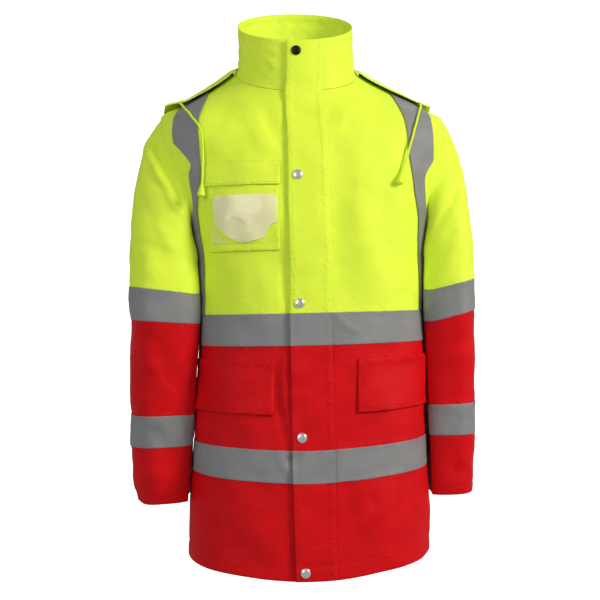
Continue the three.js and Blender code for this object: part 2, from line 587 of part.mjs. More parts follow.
function harnessTape(side, name) {
  const shares = even(0, 1, 3);
  const innerEdge = column(HARNESS, side < 0 ? 'innerRight' : 'innerLeft');
  const margin = column(HARNESS, side < 0 ? 'marginRight' : 'marginLeft');
  const place = (behind, level, share) => {
    const depth = behind ? body.back(level) : body.front(level);
    const power = body.power(level);
    const inner = innerEdge(level);
    const y = depth * (1 - (inner / body.across(level)) ** power) ** (1 / power);
    const total = distanceAt(Math.PI, level);
    const fromMiddle = (distance) => (behind ? total - distance : distance);
    const from = fromMiddle(distanceAt(Math.atan2(inner, behind ? -y : y), level));
    const seamLevel = Math.abs(level - UNDERARM) < HARNESS_TUCK.reach ? UNDERARM + HARNESS_TUCK.rise : level;
    const seamDistance = fromMiddle(edgeDistance(seamLevel, behind, side));
    const to = Math.min(from + TAPE_WIDTH, seamDistance - margin(level));
    return { angle: angleAt(fromMiddle(lerp(from, Math.max(to, from + 2), share)), level), level };
  };
  const over = (behind, back, share) => {
    const turn = place(behind, HARNESS_LEVELS[HARNESS_LEVELS.length - 1], share);
    const at = bodySurface(turn.angle, turn.level);
    at.x -= body.shift(turn.level);
    const x = lerp(HARNESS_ACROSS + share * TAPE_WIDTH, at.x, back ** 2);
    return overShoulder(x, at.y * back);
  };
  const half = (behind) => [
    ...HARNESS_LEVELS.map((level) => shares.map((f) => place(behind, level, f))),
    ...HARNESS_OVERS.map((b) => shares.map((f) => over(behind, b, f))),
  ];
  const crest = shares.map((f) => over(false, 0, f));
  const places = [...half(false), crest, ...half(true).reverse()];
  const grid = (more) => places.map((row) => row.map(
    ({ angle, level }) => bodyPoint(side * Math.abs(angle), level, HARNESS_LIFT + more),
  ));
  add(`harness_tape_${name}`, wall(grid(TAPE_WALL), grid(0)), 'tape');
}

// Sleeves. Above the first section the sleeve is a smooth cap from the armhole, where it leaves the body
// outwards, to that section, where it runs downwards.

const SLEEVE_COLUMNS = 20;
const CAP_SHARES = [0, 0.12, 0.26, 0.42, 0.6, 0.8];
const sleeve = Object.fromEntries(
  Object.keys(SLEEVE[0]).slice(1).map((name) => [name, column(SLEEVE, name)]),
);

// How far out the body's side is at a depth and a height, or nothing in front of it and behind it.
function bodySide(y, z, side) {
  const level = z > COLOUR_SEAM ? z : (z - HEM_RISE * COLOUR_SEAM) / (1 - HEM_RISE);
  const depth = y < 0 ? body.front(level) : body.back(level);
  const power = body.power(level);
  return body.across(level) * Math.max(0, 1 - Math.abs(y / depth) ** power) ** (1 / power)
    + side * body.shift(level);
}

// A ring of a sleeve is a superellipse whose inner half is wider. Where that half would meet the body's side, it
// follows the side instead, so that the sleeve lies against the body in front and behind.
function sleeveRing(turn, level, side) {
  const name = side < 0 ? 'Right' : 'Left';
  const [middle, deep] = [sleeve[`out${name}`](level), sleeve.deep(level)];
  const wide = sleeve[`wide${name}`](level) + (Math.cos(turn) < 0 ? SLEEVE_INNER : 0);
  const reach = (Math.abs(Math.cos(turn) / wide) ** SLEEVE_POWER + Math.abs(Math.sin(turn) / deep) ** SLEEVE_POWER)
    ** (-1 / SLEEVE_POWER);
  const out = reach * Math.cos(turn);
  const y = -sleeve.forward(level) - reach * Math.sin(turn);
  const curl = sleeve[`curl${name}`](level) * Math.max(0, Math.cos(turn)) ** 3;
  const z = level + Math.max(out, -sleeve[`wide${name}`](level)) * sleeve[`slope${name}`](level) + curl;
  const least = bodySide(y, z, side) + SLEEVE_CLEAR;
  const x = middle + out;
  const pressed = (x + least + Math.hypot(x - least, SLEEVE_SOFT)) / 2;
  return new THREE.Vector3(Math.cos(turn) < 0 ? lerp(x, pressed, Math.min(1, -4 * Math.cos(turn))) : x, y, z);
}

// The way out of the armhole and the way into the first section, at a turn round the sleeve.
const capStart = (turn, hand) => new THREE.Vector3(
  (HEAD_LEAVES.out + HEAD_LEAVES.outTurn * Math.cos(turn)) * CAP_REACH[hand],
  -HEAD_LEAVES.forwardTurn * Math.sin(turn),
  -HEAD_LEAVES.down - HEAD_LEAVES.downTurn * Math.cos(turn),
);
const capEnd = (turn) => new THREE.Vector3(
  HEAD_ENDS.out, 0, -HEAD_ENDS.down - HEAD_ENDS.downTurn * Math.cos(turn),
);

function cap(turn, t, side) {
  const flip = (v) => new THREE.Vector3(side * v.x, v.y, v.z);
  const level = armholeLevel(turn);
  const start = bodyPoint(side * armholeAngle(level, turn > Math.PI, side), level, 2 * SEAM);
  const away = flip(capStart(turn, side < 0 ? 'Right' : 'Left'));
  start.addScaledVector(away.clone().normalize(), SEAM);
  const end = flip(sleeveRing(turn, SLEEVE_START, side));
  const [t2, t3] = [t * t, t * t * t];
  return start.multiplyScalar(2 * t3 - 3 * t2 + 1)
    .addScaledVector(away, t3 - 2 * t2 + t)
    .addScaledVector(end, 3 * t2 - 2 * t3)
    .addScaledVector(flip(capEnd(turn)), t3 - t2);
}

function sleeves() {
  const turns = even(0, 2 * Math.PI, SLEEVE_COLUMNS).slice(0, -1);
  const tapeRows = (top) => [top, top - TAPE_WIDTH / 2, top - TAPE_WIDTH];
  for (const [side, name] of [[-1, 'right'], [1, 'left']]) {
    const [high, low] = SLEEVE_TAPES[name];
    const upper = [SLEEVE_START, high, SLEEVE_COLOUR_SEAM + SEAM / 2];
    const lower = [
      SLEEVE_COLOUR_SEAM - SEAM / 2, high - TAPE_WIDTH, -435, -472, -509, ...tapeRows(low), -632, -664, CUFF,
    ];
    const rings = (levels) => levels.map((level) => turns.map((turn) => {
      const p = sleeveRing(turn, level, side);
      return new THREE.Vector3(side * p.x, p.y, p.z);
    }));
    const caps = CAP_SHARES.map((t) => turns.map((turn) => cap(turn, t, side)));
    const tube = (grid, lift, thickness) => {
      const normals = directions(grid, side, true);
      return wall(moved(grid, normals, lift + thickness), moved(grid, normals, lift), true);
    };
    add(`sleeve_${name}_upper`, tube([...caps, ...rings(upper)], -SHELL, SHELL), 'yellow');
    add(`sleeve_${name}_lower`, tube(rings(lower), -SHELL, SHELL), 'red');
    SLEEVE_TAPES[name].forEach((top, i) => {
      add(`sleeve_${name}_tape_${i + 1}`, tube(rings(tapeRows(top)), LIFT, TAPE_WALL), 'tape');
    });
  }
}

// Hood: a pouch that hangs open down the back. Each column starts at the neck or shoulder edge, lies on the
// back down to the fold, and comes up again further out to the face edge.

const HOOD_HALF = [0, 0.1, 0.2, 0.29, 0.36, 0.41, 0.45, 0.48, 0.5, 0.54, 0.6, 0.68, 0.77, 0.86, 0.94, 1];
const HOOD_FOLD_SHARE = 0.6;
const HOOD_ROWS = [0, 0.03, 0.06, 0.1, 0.15, 0.22, 0.3, 0.4, 0.5, 0.56, 0.6, 0.65, 0.72, 0.8, 0.9, 1];
const hood = Object.fromEntries(
  ['neck', 'fold', 'foldLevel', 'face', 'faceLevel', 'stand'].map(
    (name) => [name, column(HOOD, name, 'column')],
  ),
);
const smooth = (t) => t * t * (3 - 2 * t);

function hoodPoint(share, down) {
  const [at, side] = [Math.abs(share), share < 0 ? -1 : 1];
  const toFold = clamp(down / HOOD_FOLD_SHARE, 0, 1);
  const toFace = clamp((down - HOOD_FOLD_SHARE) / (1 - HOOD_FOLD_SHARE), 0, 1);
  const end = side < 0 ? smooth(clamp((at - HOOD_END.from) / (1 - HOOD_END.from), 0, 1)) : 0;
  const x = HOOD_END.reach * end + (down < HOOD_FOLD_SHARE
    ? lerp(hood.neck(at), hood.fold(at), toFold)
    : lerp(hood.fold(at), hood.face(at), toFace));
  // The square root of the drop below the crest is nearly the distance back over the shoulder.
  const crest = Math.min(levelAcross(Math.max(x, HOOD_ROOT)), HOOD_HIGHEST);
  const onShoulder = smooth(clamp((hood.neck(at) - HOOD_RISE.from) / HOOD_RISE.over, 0, 1));
  const first = -HOOD_FORWARD * onShoulder;
  const last = Math.sqrt(Math.max(0, crest - hood.foldLevel(at)));
  const turnBack = Math.sqrt(Math.max(0, crest - hood.faceLevel(at)));
  const root = down < HOOD_FOLD_SHARE
    ? lerp(first, last, Math.sin((toFold * Math.PI) / 2))
    : lerp(last, turnBack, 1 - Math.cos((toFace * Math.PI) / 2));
  const level = crest - root * root;
  const power = body.power(level);
  const room = Math.max(0, 1 - (Math.min(x, body.across(level)) / body.across(level)) ** power);
  const y = (root < 0 ? -body.front(level) : body.back(level)) * room ** (1 / power);
  const sewn = smooth(clamp((HOOD_SEWN.share - at) / HOOD_SEWN.fade, 0, 1))
    * (1 - smooth(clamp(down / HOOD_SEWN.down, 0, 1)));
  const opened = hood.stand(at) * smooth(clamp((down - HOOD_OPENS.from) / HOOD_OPENS.over, 0, 1));
  const stand = lerp(HOOD_CLEAR, HOOD_SEAT, sewn) + opened + HOOD_END.stand * end;
  return bodyPoint(side * Math.atan2(x, -y), level, stand);
}

function hoodPiece() {
  const shares = [...HOOD_HALF.slice(1).reverse().map((s) => -s), ...HOOD_HALF];
  const grid = HOOD_ROWS.map((down) => shares.map((share) => hoodPoint(share, down)));
  const normals = directions(grid, 1);
  add('hood', wall(moved(grid, normals, HOOD_WALL / 2), moved(grid, normals, -HOOD_WALL / 2)), 'yellow');
}

// Drawcords: a round section carried along each route, with a bell-shaped end cap under its tail.

function cords() {
  const section = new THREE.Shape();
  for (let i = 0; i < CORD_SIDES; i++) {
    const a = (i / CORD_SIDES) * 2 * Math.PI;
    const [x, y] = [Math.cos(a) * CORD_DIAMETER / 2, Math.sin(a) * CORD_DIAMETER / 2];
    if (i === 0) section.moveTo(x, y);
    else section.lineTo(x, y);
  }
  section.closePath();
  for (const [route, name] of [[CORD_RIGHT, 'right'], [CORD_LEFT, 'left']]) {
    const path = new THREE.CatmullRomCurve3(route.map((p) => new THREE.Vector3(...p)));
    const tube = new THREE.ExtrudeGeometry(section, { steps: 18, extrudePath: path, curveSegments: 1 });
    add(`cord_${name}`, tube, 'cord');
    const bell = [
      [0, 0], [CORD_END.neck, 0], [CORD_END.neck * 1.15, CORD_END.length * 0.35],
      [CORD_END.mouth, CORD_END.length * 0.8], [CORD_END.mouth * 0.9, CORD_END.length], [0, CORD_END.length],
    ].map(([x, y]) => new THREE.Vector2(x, y));
    const tail = path.getPoint(1);
    const way = path.getTangent(1);
    const start = tail.addScaledVector(way, SEAM);
    const end = new THREE.LatheGeometry(bell, 12);
    end.applyQuaternion(new THREE.Quaternion().setFromUnitVectors(new THREE.Vector3(0, 1, 0), way));
    end.translate(start.x, start.y, start.z);
    add(`cord_end_${name}`, end, 'cord');
  }
}

bodyPanels();
bodyTapes();
collar();
stormFlap();
snaps();
badgePocket();
pocketFlaps();
harnessTape(-1, 'right');
harnessTape(1, 'left');
sleeves();
hoodPiece();
cords();

export default group;
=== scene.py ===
"""A hi-vis winter work jacket, filled out as it is when worn, with nobody in it.

Lengths in the tables are millimetres in the jacket's own frame: +Z up, the front facing -Y, the wearer's left
hand at +X, the origin midway between the two neck ends of the shoulder seams. The meshes are in metres.
"""

import math

import bpy
import numpy as np
from mathutils import Matrix, Vector


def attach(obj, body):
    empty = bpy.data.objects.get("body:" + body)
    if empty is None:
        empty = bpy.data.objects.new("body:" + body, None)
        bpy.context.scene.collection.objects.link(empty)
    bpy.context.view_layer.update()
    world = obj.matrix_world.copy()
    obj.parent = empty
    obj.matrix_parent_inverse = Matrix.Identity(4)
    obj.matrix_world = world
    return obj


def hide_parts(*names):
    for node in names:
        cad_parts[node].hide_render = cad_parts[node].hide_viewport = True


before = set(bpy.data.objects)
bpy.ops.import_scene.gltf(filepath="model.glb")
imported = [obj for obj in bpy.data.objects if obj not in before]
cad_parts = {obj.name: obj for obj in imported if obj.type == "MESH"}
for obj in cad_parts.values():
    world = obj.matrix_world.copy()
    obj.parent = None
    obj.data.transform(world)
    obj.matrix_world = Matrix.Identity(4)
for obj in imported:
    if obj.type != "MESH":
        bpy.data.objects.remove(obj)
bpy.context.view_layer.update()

bl_info = {
    "name": "Hi-vis work jacket",
    "version": (1, 0, 0),
    "blender": (4, 5, 0),
    "location": "View3D > Sidebar > Jacket",
    "description": "Builds a hi-vis work jacket round its packed frame",
    "category": "Object",
}

MM = 0.001

# Cloth and seams
SHELL = 2.4  # padded wall of the body and sleeves
COLLAR_WALL = 2.2
HOOD_WALL = 1.4
SEAM = 0.3  # gap between two pieces at a seam
LIFT = 0.6  # gap under a piece that lies on a panel
TAPE_WIDTH = 50
TAPE_WALL = 0.6
FLAP_WALL = 1.8
EDGE = 1.7  # width over which a cut edge rounds off

# Heights of the body, as levels of its rings
CHEST_TAPE_TOP = -392
CHEST_TAPE_END = CHEST_TAPE_TOP - TAPE_WIDTH
COLOUR_SEAM = (CHEST_TAPE_TOP + CHEST_TAPE_END) / 2
LOW_TAPE_TOP = -602
LOW_TAPE_END = LOW_TAPE_TOP - TAPE_WIDTH
HEM = -801
HEM_RISE = 0.055  # share by which the lower body is shorter at the sides
HEM_STITCH = 25  # height of the hem's stitching above its edge
COLLAR_TOP = 80
SHOULDER_TILT = -0.015  # the left shoulder hangs a little lower than the right
SHOULDER_TILT_FROM = -300
SHOULDER_TILT_TO = 84

# Sections of the body: shift to the left, half width, depth in front and behind, squareness, and lean
BODY = (
    ("level", "shift", "across", "front", "back", "power", "lean"),
    (
        (-816, 2, 197, 144, 128, 2.6, 0),
        (-700, 5, 194, 141, 126, 2.6, 0),
        (-600, 8, 190, 138, 124, 2.6, 0),
        (-500, 11, 186, 135, 122, 2.6, 0),
        (-400, 13, 183, 132, 120, 2.6, 0),
        (-320, 13, 185, 131, 121, 2.55, 0),
        (-262, 11, 195, 131, 122, 2.5, 0),
        (-200, 9, 213, 127, 121, 2.5, 0.01),
        (-150, 9, 227, 121, 117, 2.5, 0.05),
        (-105, 9, 234, 113, 111, 2.5, 0.11),
        (-73, 8, 230, 102, 101, 2.5, 0.22),
        (-49, 6, 183, 96, 94, 2.45, 0.3),
        (-26, 3, 139, 91, 87, 2.35, 0.4),
        (-10, 0, 112, 87, 82, 2.2, 0.47),
        (0, -1, 99, 85, 79, 2.15, 0.5),
        (12, -1, 95, 84, 78, 2.1, 0.5),
        (40, -1, 94, 84, 78, 2.1, 0.5),
        (84, -1, 95, 85, 80, 2.1, 0.5),
    ),
)

# Armhole: a closed curve on the body from the shoulder tip down to the underarm
ARMHOLE_TIP = -73
UNDERARM = -262
ARMHOLE_MIDDLE = (ARMHOLE_TIP + UNDERARM) / 2
ARMHOLE_HALF = (ARMHOLE_TIP - UNDERARM) / 2
ARMHOLE_FRONT = {"right": 70, "left": 57}
ARMHOLE_BACK = 66
ARMHOLE_SKEW = 0.55

# Sections of the sleeves below the armhole
SLEEVE = (
    ("level", "out_right", "wide_right", "out_left", "wide_left", "forward", "deep", "slope_right", "slope_left",
     "curl_right", "curl_left"),
    (
        (-300, 228, 50, 244, 37, 14, 80, 0.16, 0.25, 0, 0),
        (-351, 227, 52, 242, 38, 18, 77, 0.14, 0.235, 0, 0),
        (-401, 227, 52, 242, 38, 17, 74, 0.09, 0.25, 0, 0),
        (-470, 230, 52, 242, 38, 11, 70, 0.03, 0.1, 0, 0),
        (-550, 232, 51, 242, 38, 6, 66, 0, 0.02, 0, 0),
        (-600, 235, 48, 241, 38, 4, 64, -0.02, 0, 0, 0),
        (-660, 236, 45, 240, 38, 2, 61, -0.03, 0, 1, 1),
        (-692, 236, 41, 239, 36, 0, 58, -0.04, 0, 11, 6),
    ),
)
SLEEVE_INNER = 26  # how much wider the half that faces the body is, before the body's side presses it in
SLEEVE_SOFT = 5
SLEEVE_CLEAR = 4.8  # closer than in the solids, so that no light falls between
SLEEVE_POWER = 2.2
SLEEVE_START = -300
SLEEVE_TAPES = {"right": (-351, -550), "left": (-351, -544)}
SLEEVE_COLOUR_SEAM = -351 - TAPE_WIDTH / 2
CUFF = -692
CUFF_STITCH = 15
CAP_REACH = {"right": 0.9, "left": 0.62}
HEAD_LEAVES = {"out": 81, "out_turn": 69, "forward_turn": 22, "down": 67, "down_turn": 22}
HEAD_TUCK = 1.6  # how deep its edge lies under the panels' edges
HEAD_ENDS = {"out": 12, "down": 125, "down_turn": 75}

# Storm flap: distances of its free edge and of its seam from the centre front
FLAP = (
    ("level", "free", "sewn"),
    (
        (84, -19, 41),
        (20, -21, 39),
        (-66, -32, 29),
        (-180, -34, 30),
        (-420, -40, 25),
        (-610, -36, 30),
        (-801, -30, 34),
    ),
)
FLAP_LIFT = {"sewn": 1.6, "free": 3.4}
SNAP_INSET = 15
SNAPS = (("snap_collar", 62), ("snap_chest", -177), ("snap_waist", -377), ("snap_low", -582), ("snap_hem", -786))

# Pockets
BADGE = {"near": 47, "far": 161, "top": -152, "end": -295, "bulge": 3.5, "lift": 1.1}
BADGE_LEAN = {"near": 4.5, "far": 10}  # how much further out its edges lie at the bottom
BADGE_FLAP = {"near": 45, "far": 163, "top": -150, "end": -193}
BADGE_WINDOW = {"near": 50, "far": 151, "top": -208, "end": -282, "wall": 0.5}
POCKET_FLAP = {"near": 64, "far": 230, "top": -464, "end": -548}

# Harness tape
HARNESS = (
    ("level", "inner_right", "margin_right", "inner_left", "margin_left"),
    (
        (-392, 170, 6, 170, 6),
        (-311, 170, 6, 170, 6),
        (-250, 173, 6, 172, 7),
        (-212, 171, 5, 168, 13),
        (-196, 169, 6, 166, 19),
        (-173, 168, 15, 163, 29),
        (-150, 168, 34, 160, 25),
        (-127, 169, 32, 158, 14),
        (-100, 170.5, 13, 157, 8),
    ),
)
HARNESS_ACROSS = 150
HARNESS_LIFT = 1.7
HARNESS_TUCK = {"reach": 10, "rise": 6}
HARNESS_LAST = -96  # level above which the tape runs straight back over the shoulder

# Hood, lying open down the back: places of its neck edge, fold and face edge for each column
HOOD = (
    ("column", "neck", "fold", "fold_level", "face", "face_level", "stand"),
    (
        (0, 0, 0, -268, 0, -104, 34),
        (0.25, 52, 66, -256, 60, -108, 32),
        (0.5, 100, 128, -216, 116, -112, 26),
        (0.75, 158, 180, -146, 176, -96, 16),
        (1, 215, 216, -82, 215, -76, 7),
    ),
)
HOOD_FORWARD = 0.45
HOOD_CLEAR = 7.5
HOOD_SEAT = 1.4
HOOD_FOLD_SHARE = 0.6
HOOD_END = {"reach": 4, "stand": 6, "start": 0.84}

# Drawcords of the hood: the routes of the frame's cords
CORD_DIAMETER = 3.6
CORD_RIGHT = (
    (-193.5, -17.5, -47.5), (-190, -28, -51.5), (-186.5, -40, -57), (-182.3, -52.5, -64), (-175.4, -70, -73.5),
    (-170.7, -78.7, -82), (-164.6, -86.3, -90), (-159.8, -91.2, -98), (-156.8, -93.5, -106),
    (-155.4, -95.8, -113.5), (-154.8, -98.5, -127), (-154.6, -101.5, -143), (-155, -106, -158),
    (-155.6, -108, -174), (-157, -108.5, -189.5),
)
CORD_LEFT = (
    (202, -17.5, -53), (200, -28, -57.5), (198.1, -40.5, -63), (195.8, -50, -67), (193, -59, -71),
    (190, -68.3, -77.5), (186.8, -77.3, -84.4), (181.7, -88.6, -98), (178, -93, -107), (175.7, -96.2, -115),
    (172.7, -98.9, -123.5), (169.8, -101, -132), (164.6, -104.4, -148), (160, -107.8, -162),
    (154.5, -111.5, -177),
)
CORD_END = {"length": 20, "neck": 2.6, "mouth": 6}

# Folds of the cloth, as seen from the front or the back: where each starts and ends (across, height), its
# width and its depth, which is negative for a trough
FRONT_FOLDS = (
    (-59, -54, -31, -142, 11, -2.2),
    (-87, -58, -49, -150, 15, 1.6),
    (-140, -84, -104, -140, 16, -1.3),
    (-140, -312, -124, -380, 14, -1.4),
    (-68, -316, -54, -384, 15, 1.3),
    (-33, -312, -31, -388, 7, -1.6),
    (56, -120, 63, -372, 19, -2.6),
    (99, -96, 100, -360, 21, 2.4),
    (132, -178, 141, -372, 17, -2.0),
    (74, -32, 38, -92, 7, -1.8),
    (92, -46, 58, -108, 9, 1.5),
    (40, -395, 78, -425, 6, 1.2),
    (-46, -452, -38, -590, 8, -2.2),
    (-36, -452, -30, -575, 6, 2.2),
    (-37, -624, -12, -600, 6, -2.8),
    (-52, -600, -30, -640, 8, 1.8),
    (-125, -668, -108, -775, 22, -1.8),
    (-72, -655, -66, -775, 22, 1.6),
    (70, -560, 64, -742, 15, -1.6),
    (104, -660, 136, -745, 19, 1.6),
    (88, -668, 104, -700, 8, -1.2),
    (134, -562, 176, -634, 14, -1.5),
    (-160, -470, -150, -590, 18, -1.2),
)
BACK_FOLDS = (
    (-120, -290, -104, -440, 22, -2.4),
    (-62, -280, -70, -470, 20, 2.0),
    (12, -300, 4, -520, 24, -2.2),
    (74, -276, 88, -430, 20, 2.0),
    (134, -292, 122, -462, 18, -2.2),
    (-150, -470, -118, -600, 18, 1.8),
    (-40, -540, -30, -720, 22, -2.0),
    (60, -500, 48, -660, 20, 1.6),
    (120, -560, 138, -740, 20, -2.0),
    (-104, -640, -92, -780, 20, 1.8),
    (24, -640, 20, -770, 16, -1.4),
    (-150, -150, -96, -210, 12, -1.6),
    (168, -160, 118, -212, 12, -1.6),
)
SLEEVE_FRONT_FOLDS = (
    (-248, -108, -233, -158, 8, 4.2),
    (-235, -150, -214, -188, 8, 4.2),
    (-218, -182, -184, -238, 8, 3.8),
    (-232, -108, -218, -158, 7, -4.2),
    (-220, -152, -200, -184, 7, -4.0),
    (-202, -180, -178, -216, 6, -3.4),
    (-254, -214, -206, -330, 20, -2.4),
    (-230, -236, -196, -300, 10, 1.8),
    (-262, -310, -240, -420, 18, 1.8),
    (-236, -446, -182, -520, 15, -2.4),
    (-262, -430, -222, -492, 14, 2.0),
    (-252, -560, -206, -610, 12, -1.6),
    (-240, -600, -232, -680, 14, 1.4),
    (256, -186, 238, -226, 6, -3.2),
    (240, -222, 200, -284, 6, -3.2),
    (242, -182, 206, -248, 10, 2.8),
    (232, -112, 214, -166, 7, -2.2),
    (262, -150, 254, -250, 16, 1.6),
    (256, -262, 222, -330, 10, 1.8),
    (268, -420, 220, -500, 14, -2.0),
    (262, -380, 236, -440, 12, 1.6),
    (246, -600, 232, -670, 12, -1.4),
)
SLEEVE_BACK_FOLDS = (
    (-250, -130, -216, -200, 9, 3.4),
    (-232, -120, -202, -186, 8, -3.6),
    (-250, -240, -206, -330, 16, -2.6),
    (-262, -420, -196, -470, 11, 2.6),
    (-262, -446, -200, -500, 10, -2.8),
    (-258, -490, -210, -530, 12, 2.0),
    (-250, -590, -214, -660, 13, -1.6),
    (256, -136, 226, -210, 9, 3.0),
    (244, -120, 212, -190, 8, -3.2),
    (262, -250, 218, -336, 14, -2.4),
    (270, -424, 218, -474, 11, 2.4),
    (270, -450, 220, -506, 10, -2.6),
    (262, -600, 232, -664, 12, -1.4),
)

# Badge window, in the cloth's own coordinates: circles, each with its centre and radius, that bound the painted
# glare on its film
WINDOW_INNER = (-97, -226, 51)  # inside it the film carries painted glare, pale and nearly opaque
WINDOW_OUTER = (-99.5, -228.5, 54.5)  # outside it the painted glare is weaker, with a clear crescent between the two
WINDOW_CORNER = (-49, -270, 20)  # inside it the film is clear
WINDOW_BEND = 9  # how far the circles' edges wander
# opacity of the painted glare inside the inner circle
WINDOW_GLARE_OPACITY = 0.82

# Stitches
STITCH_LENGTH = 2.7
STITCH_GAP = 1.3
STITCH_THICKNESS = 0.55

# Camera, from the photo
CAMERA_TURN = -3.5  # degrees
CAMERA_ROLL = -1.3  # degrees
CAMERA_DISTANCE = 1.8
CAMERA_HEIGHT = -0.372
CAMERA_ASIDE = -0.003
CAMERA_LENS = 65.46
CAMERA_SENSOR = 36


# Curves and surfaces

def column(table, name):
    """A smooth curve through one column of a table, flat at its peaks: a cubic between each two rows, whose
    slope at a row is the harmonic mean of the slopes on both sides, or 0 where these differ in sign."""
    names, rows = table
    data = np.array(sorted(rows), dtype=float)
    x = data[:, 0]
    y = data[:, names.index(name)]
    step = np.diff(y) / np.diff(x)
    slope = np.empty_like(y)
    slope[0] = step[0]
    slope[-1] = step[-1]
    before, after = step[:-1], step[1:]
    total = np.where(before + after == 0, 1, before + after)
    slope[1:-1] = np.where(before * after <= 0, 0, 2 * before * after / total)

    def value(at):
        at = np.clip(at, x[0], x[-1])
        i = np.clip(np.searchsorted(x, at) - 1, 0, len(x) - 2)
        width = x[i + 1] - x[i]
        t = (at - x[i]) / width
        t2 = t * t
        t3 = t2 * t
        return ((2 * t3 - 3 * t2 + 1) * y[i] + (t3 - 2 * t2 + t) * width * slope[i]
                + (3 * t2 - 2 * t3) * y[i + 1] + (t3 - t2) * width * slope[i + 1])

    return value


body = {name: column(BODY, name) for name in BODY[0][1:]}
sleeve = {name: column(SLEEVE, name) for name in SLEEVE[0][1:]}
flap = {name: column(FLAP, name) for name in FLAP[0][1:]}
hood = {name: column(HOOD, name) for name in HOOD[0][1:]}
harness = {name: column(HARNESS, name) for name in HARNESS[0][1:]}


def ease(t):
    """0 up to t = 0, 1 from t = 1, and a smooth S between them."""
    t = np.clip(t, 0, 1)
    return t * t * (3 - 2 * t)


def unit(v):
    """Each vector of an array, made 1 long."""
    return v / np.maximum(np.linalg.norm(v, axis=-1, keepdims=True), 1e-9)


def body_surface(angle, level):
    """The body at an angle (0 centre front, 90 degrees the left side) and a level: a superellipse with its own
    depth in front and behind, leaning forward near the neck and shorter at the sides below the colour seam."""
    angle, level = np.broadcast_arrays(np.asarray(angle, float), np.asarray(level, float))
    across = body["across"](level)
    depth = np.where(np.cos(angle) > 0, body["front"](level), body["back"](level))
    power = body["power"](level)
    reach = (np.abs(np.sin(angle) / across) ** power + np.abs(np.cos(angle) / depth) ** power) ** (-1 / power)
    x = reach * np.sin(angle)
    y = -reach * np.cos(angle)
    below = np.minimum(0, level - COLOUR_SEAM)
    tilt = (SHOULDER_TILT * x * np.clip(1 - level / SHOULDER_TILT_FROM, 0, 1)
            * np.clip((SHOULDER_TILT_TO - level) / 100, 0, 1))
    z = level - below * HEM_RISE * np.sin(angle) ** 2 + body["lean"](level) * y + tilt
    return np.stack([x + body["shift"](level), y, z], axis=-1)


def body_normal(angle, level):
    """The outward direction: across the surface's step round the body and its step upwards."""
    turn, rise = 0.004, 0.6
    along = body_surface(angle + turn, level) - body_surface(angle - turn, level)
    up = body_surface(angle, level + rise) - body_surface(angle, level - rise)
    return unit(np.cross(along, up))


def arc_table(levels, steps=240):
    """Angles from the centre front to the centre back, and the distance along the cloth to each, one row of
    distances for each level."""
    angles = np.linspace(0, np.pi, steps + 1)
    points = body_surface(angles[None, :], np.asarray(levels, float)[:, None])
    lengths = np.linalg.norm(np.diff(points, axis=1), axis=-1)
    return angles, np.concatenate([np.zeros((len(points), 1)), np.cumsum(lengths, axis=1)], axis=1)


def distances_at(angle, levels):
    """Signed distance along the cloth of one angle for each level."""
    angles, table = arc_table(levels)
    return np.array([np.sign(a) * np.interp(abs(a), angles, row) for a, row in zip(angle, table)])


def angles_at(distance, levels):
    """Angle of each signed distance along the cloth. distance has one row for each level."""
    angles, table = arc_table(levels)
    return np.array([np.sign(d) * np.interp(np.abs(d), row, angles) for d, row in zip(distance, table)])


def half_girth(levels):
    """Distance along the cloth from the centre front to the centre back, for each level."""
    return arc_table(levels)[1][:, -1]


def armhole_level(turn):
    """Level of the armhole at a turn: 0 at the shoulder tip, pi at the underarm, on to 2 pi up the back."""
    return ARMHOLE_MIDDLE + ARMHOLE_HALF * np.cos(turn)


def armhole_angle(level, behind, hand):
    """Angle of the armhole's edge at a level: its reach in front of or behind the side is the half chord of an
    ellipse whose lower half is deeper, set on the superellipse of that level."""
    level = np.asarray(level, float)
    up = np.clip((level - ARMHOLE_MIDDLE) / ARMHOLE_HALF, -1, 1)
    most = np.where(behind, ARMHOLE_BACK, ARMHOLE_FRONT[hand])
    reach = most * np.sqrt(1 - up * up) * (1 - ARMHOLE_SKEW * up)
    depth = np.where(behind, body["back"](level), body["front"](level))
    power = body["power"](level)
    across = body["across"](level) * (1 - (reach / depth) ** power) ** (1 / power)
    return np.arctan2(across, np.where(behind, -reach, reach))


def edge_distance(levels, behind, hand="left"):
    """Distance of a panel's outer edge: the side or shoulder seam, or the armhole where the level meets it."""
    levels = np.asarray(levels, float)
    inside = (levels > UNDERARM) & (levels < ARMHOLE_TIP)
    angle = np.where(inside, armhole_angle(levels, behind, hand), np.pi / 2)
    return distances_at(angle, levels)


# Folds and seams

def fold_field(x, z, folds):
    """Sum of the folds: each is a bell across its line, as wide as its width, and fades along the line as half
    a sine towards both ends."""
    total = np.zeros(np.broadcast(x, z).shape)
    for x0, z0, x1, z1, width, depth in folds:
        dx, dz = x1 - x0, z1 - z0
        length = math.hypot(dx, dz)
        along = ((x - x0) * dx + (z - z0) * dz) / length ** 2
        bend = 0.06 * length * np.sin(np.pi * np.clip(along, 0, 1))
        aside = ((x - x0) * dz - (z - z0) * dx) / length - bend
        fade = np.sin(np.pi * np.clip(0.12 + 0.76 * along, 0, 1)) ** 1.2
        steep = np.where(aside > 0, 1.25, 0.8)
        total = total + depth * np.exp(-(aside * steep / width) ** 2) * fade
    return total


def ripple(u, v, length, seed):
    """Soft uneven ripples of height about 1: the mean of seven sines of different directions and lengths."""
    chance = np.random.default_rng(seed)
    total = 0
    for _ in range(7):
        direction = chance.uniform(0, 2 * math.pi)
        k = 2 * math.pi / (length * chance.uniform(0.7, 1.6))
        total = total + np.sin(k * (u * math.cos(direction) + v * math.sin(direction))
                               + chance.uniform(0, 2 * math.pi))
    return total / 2.6


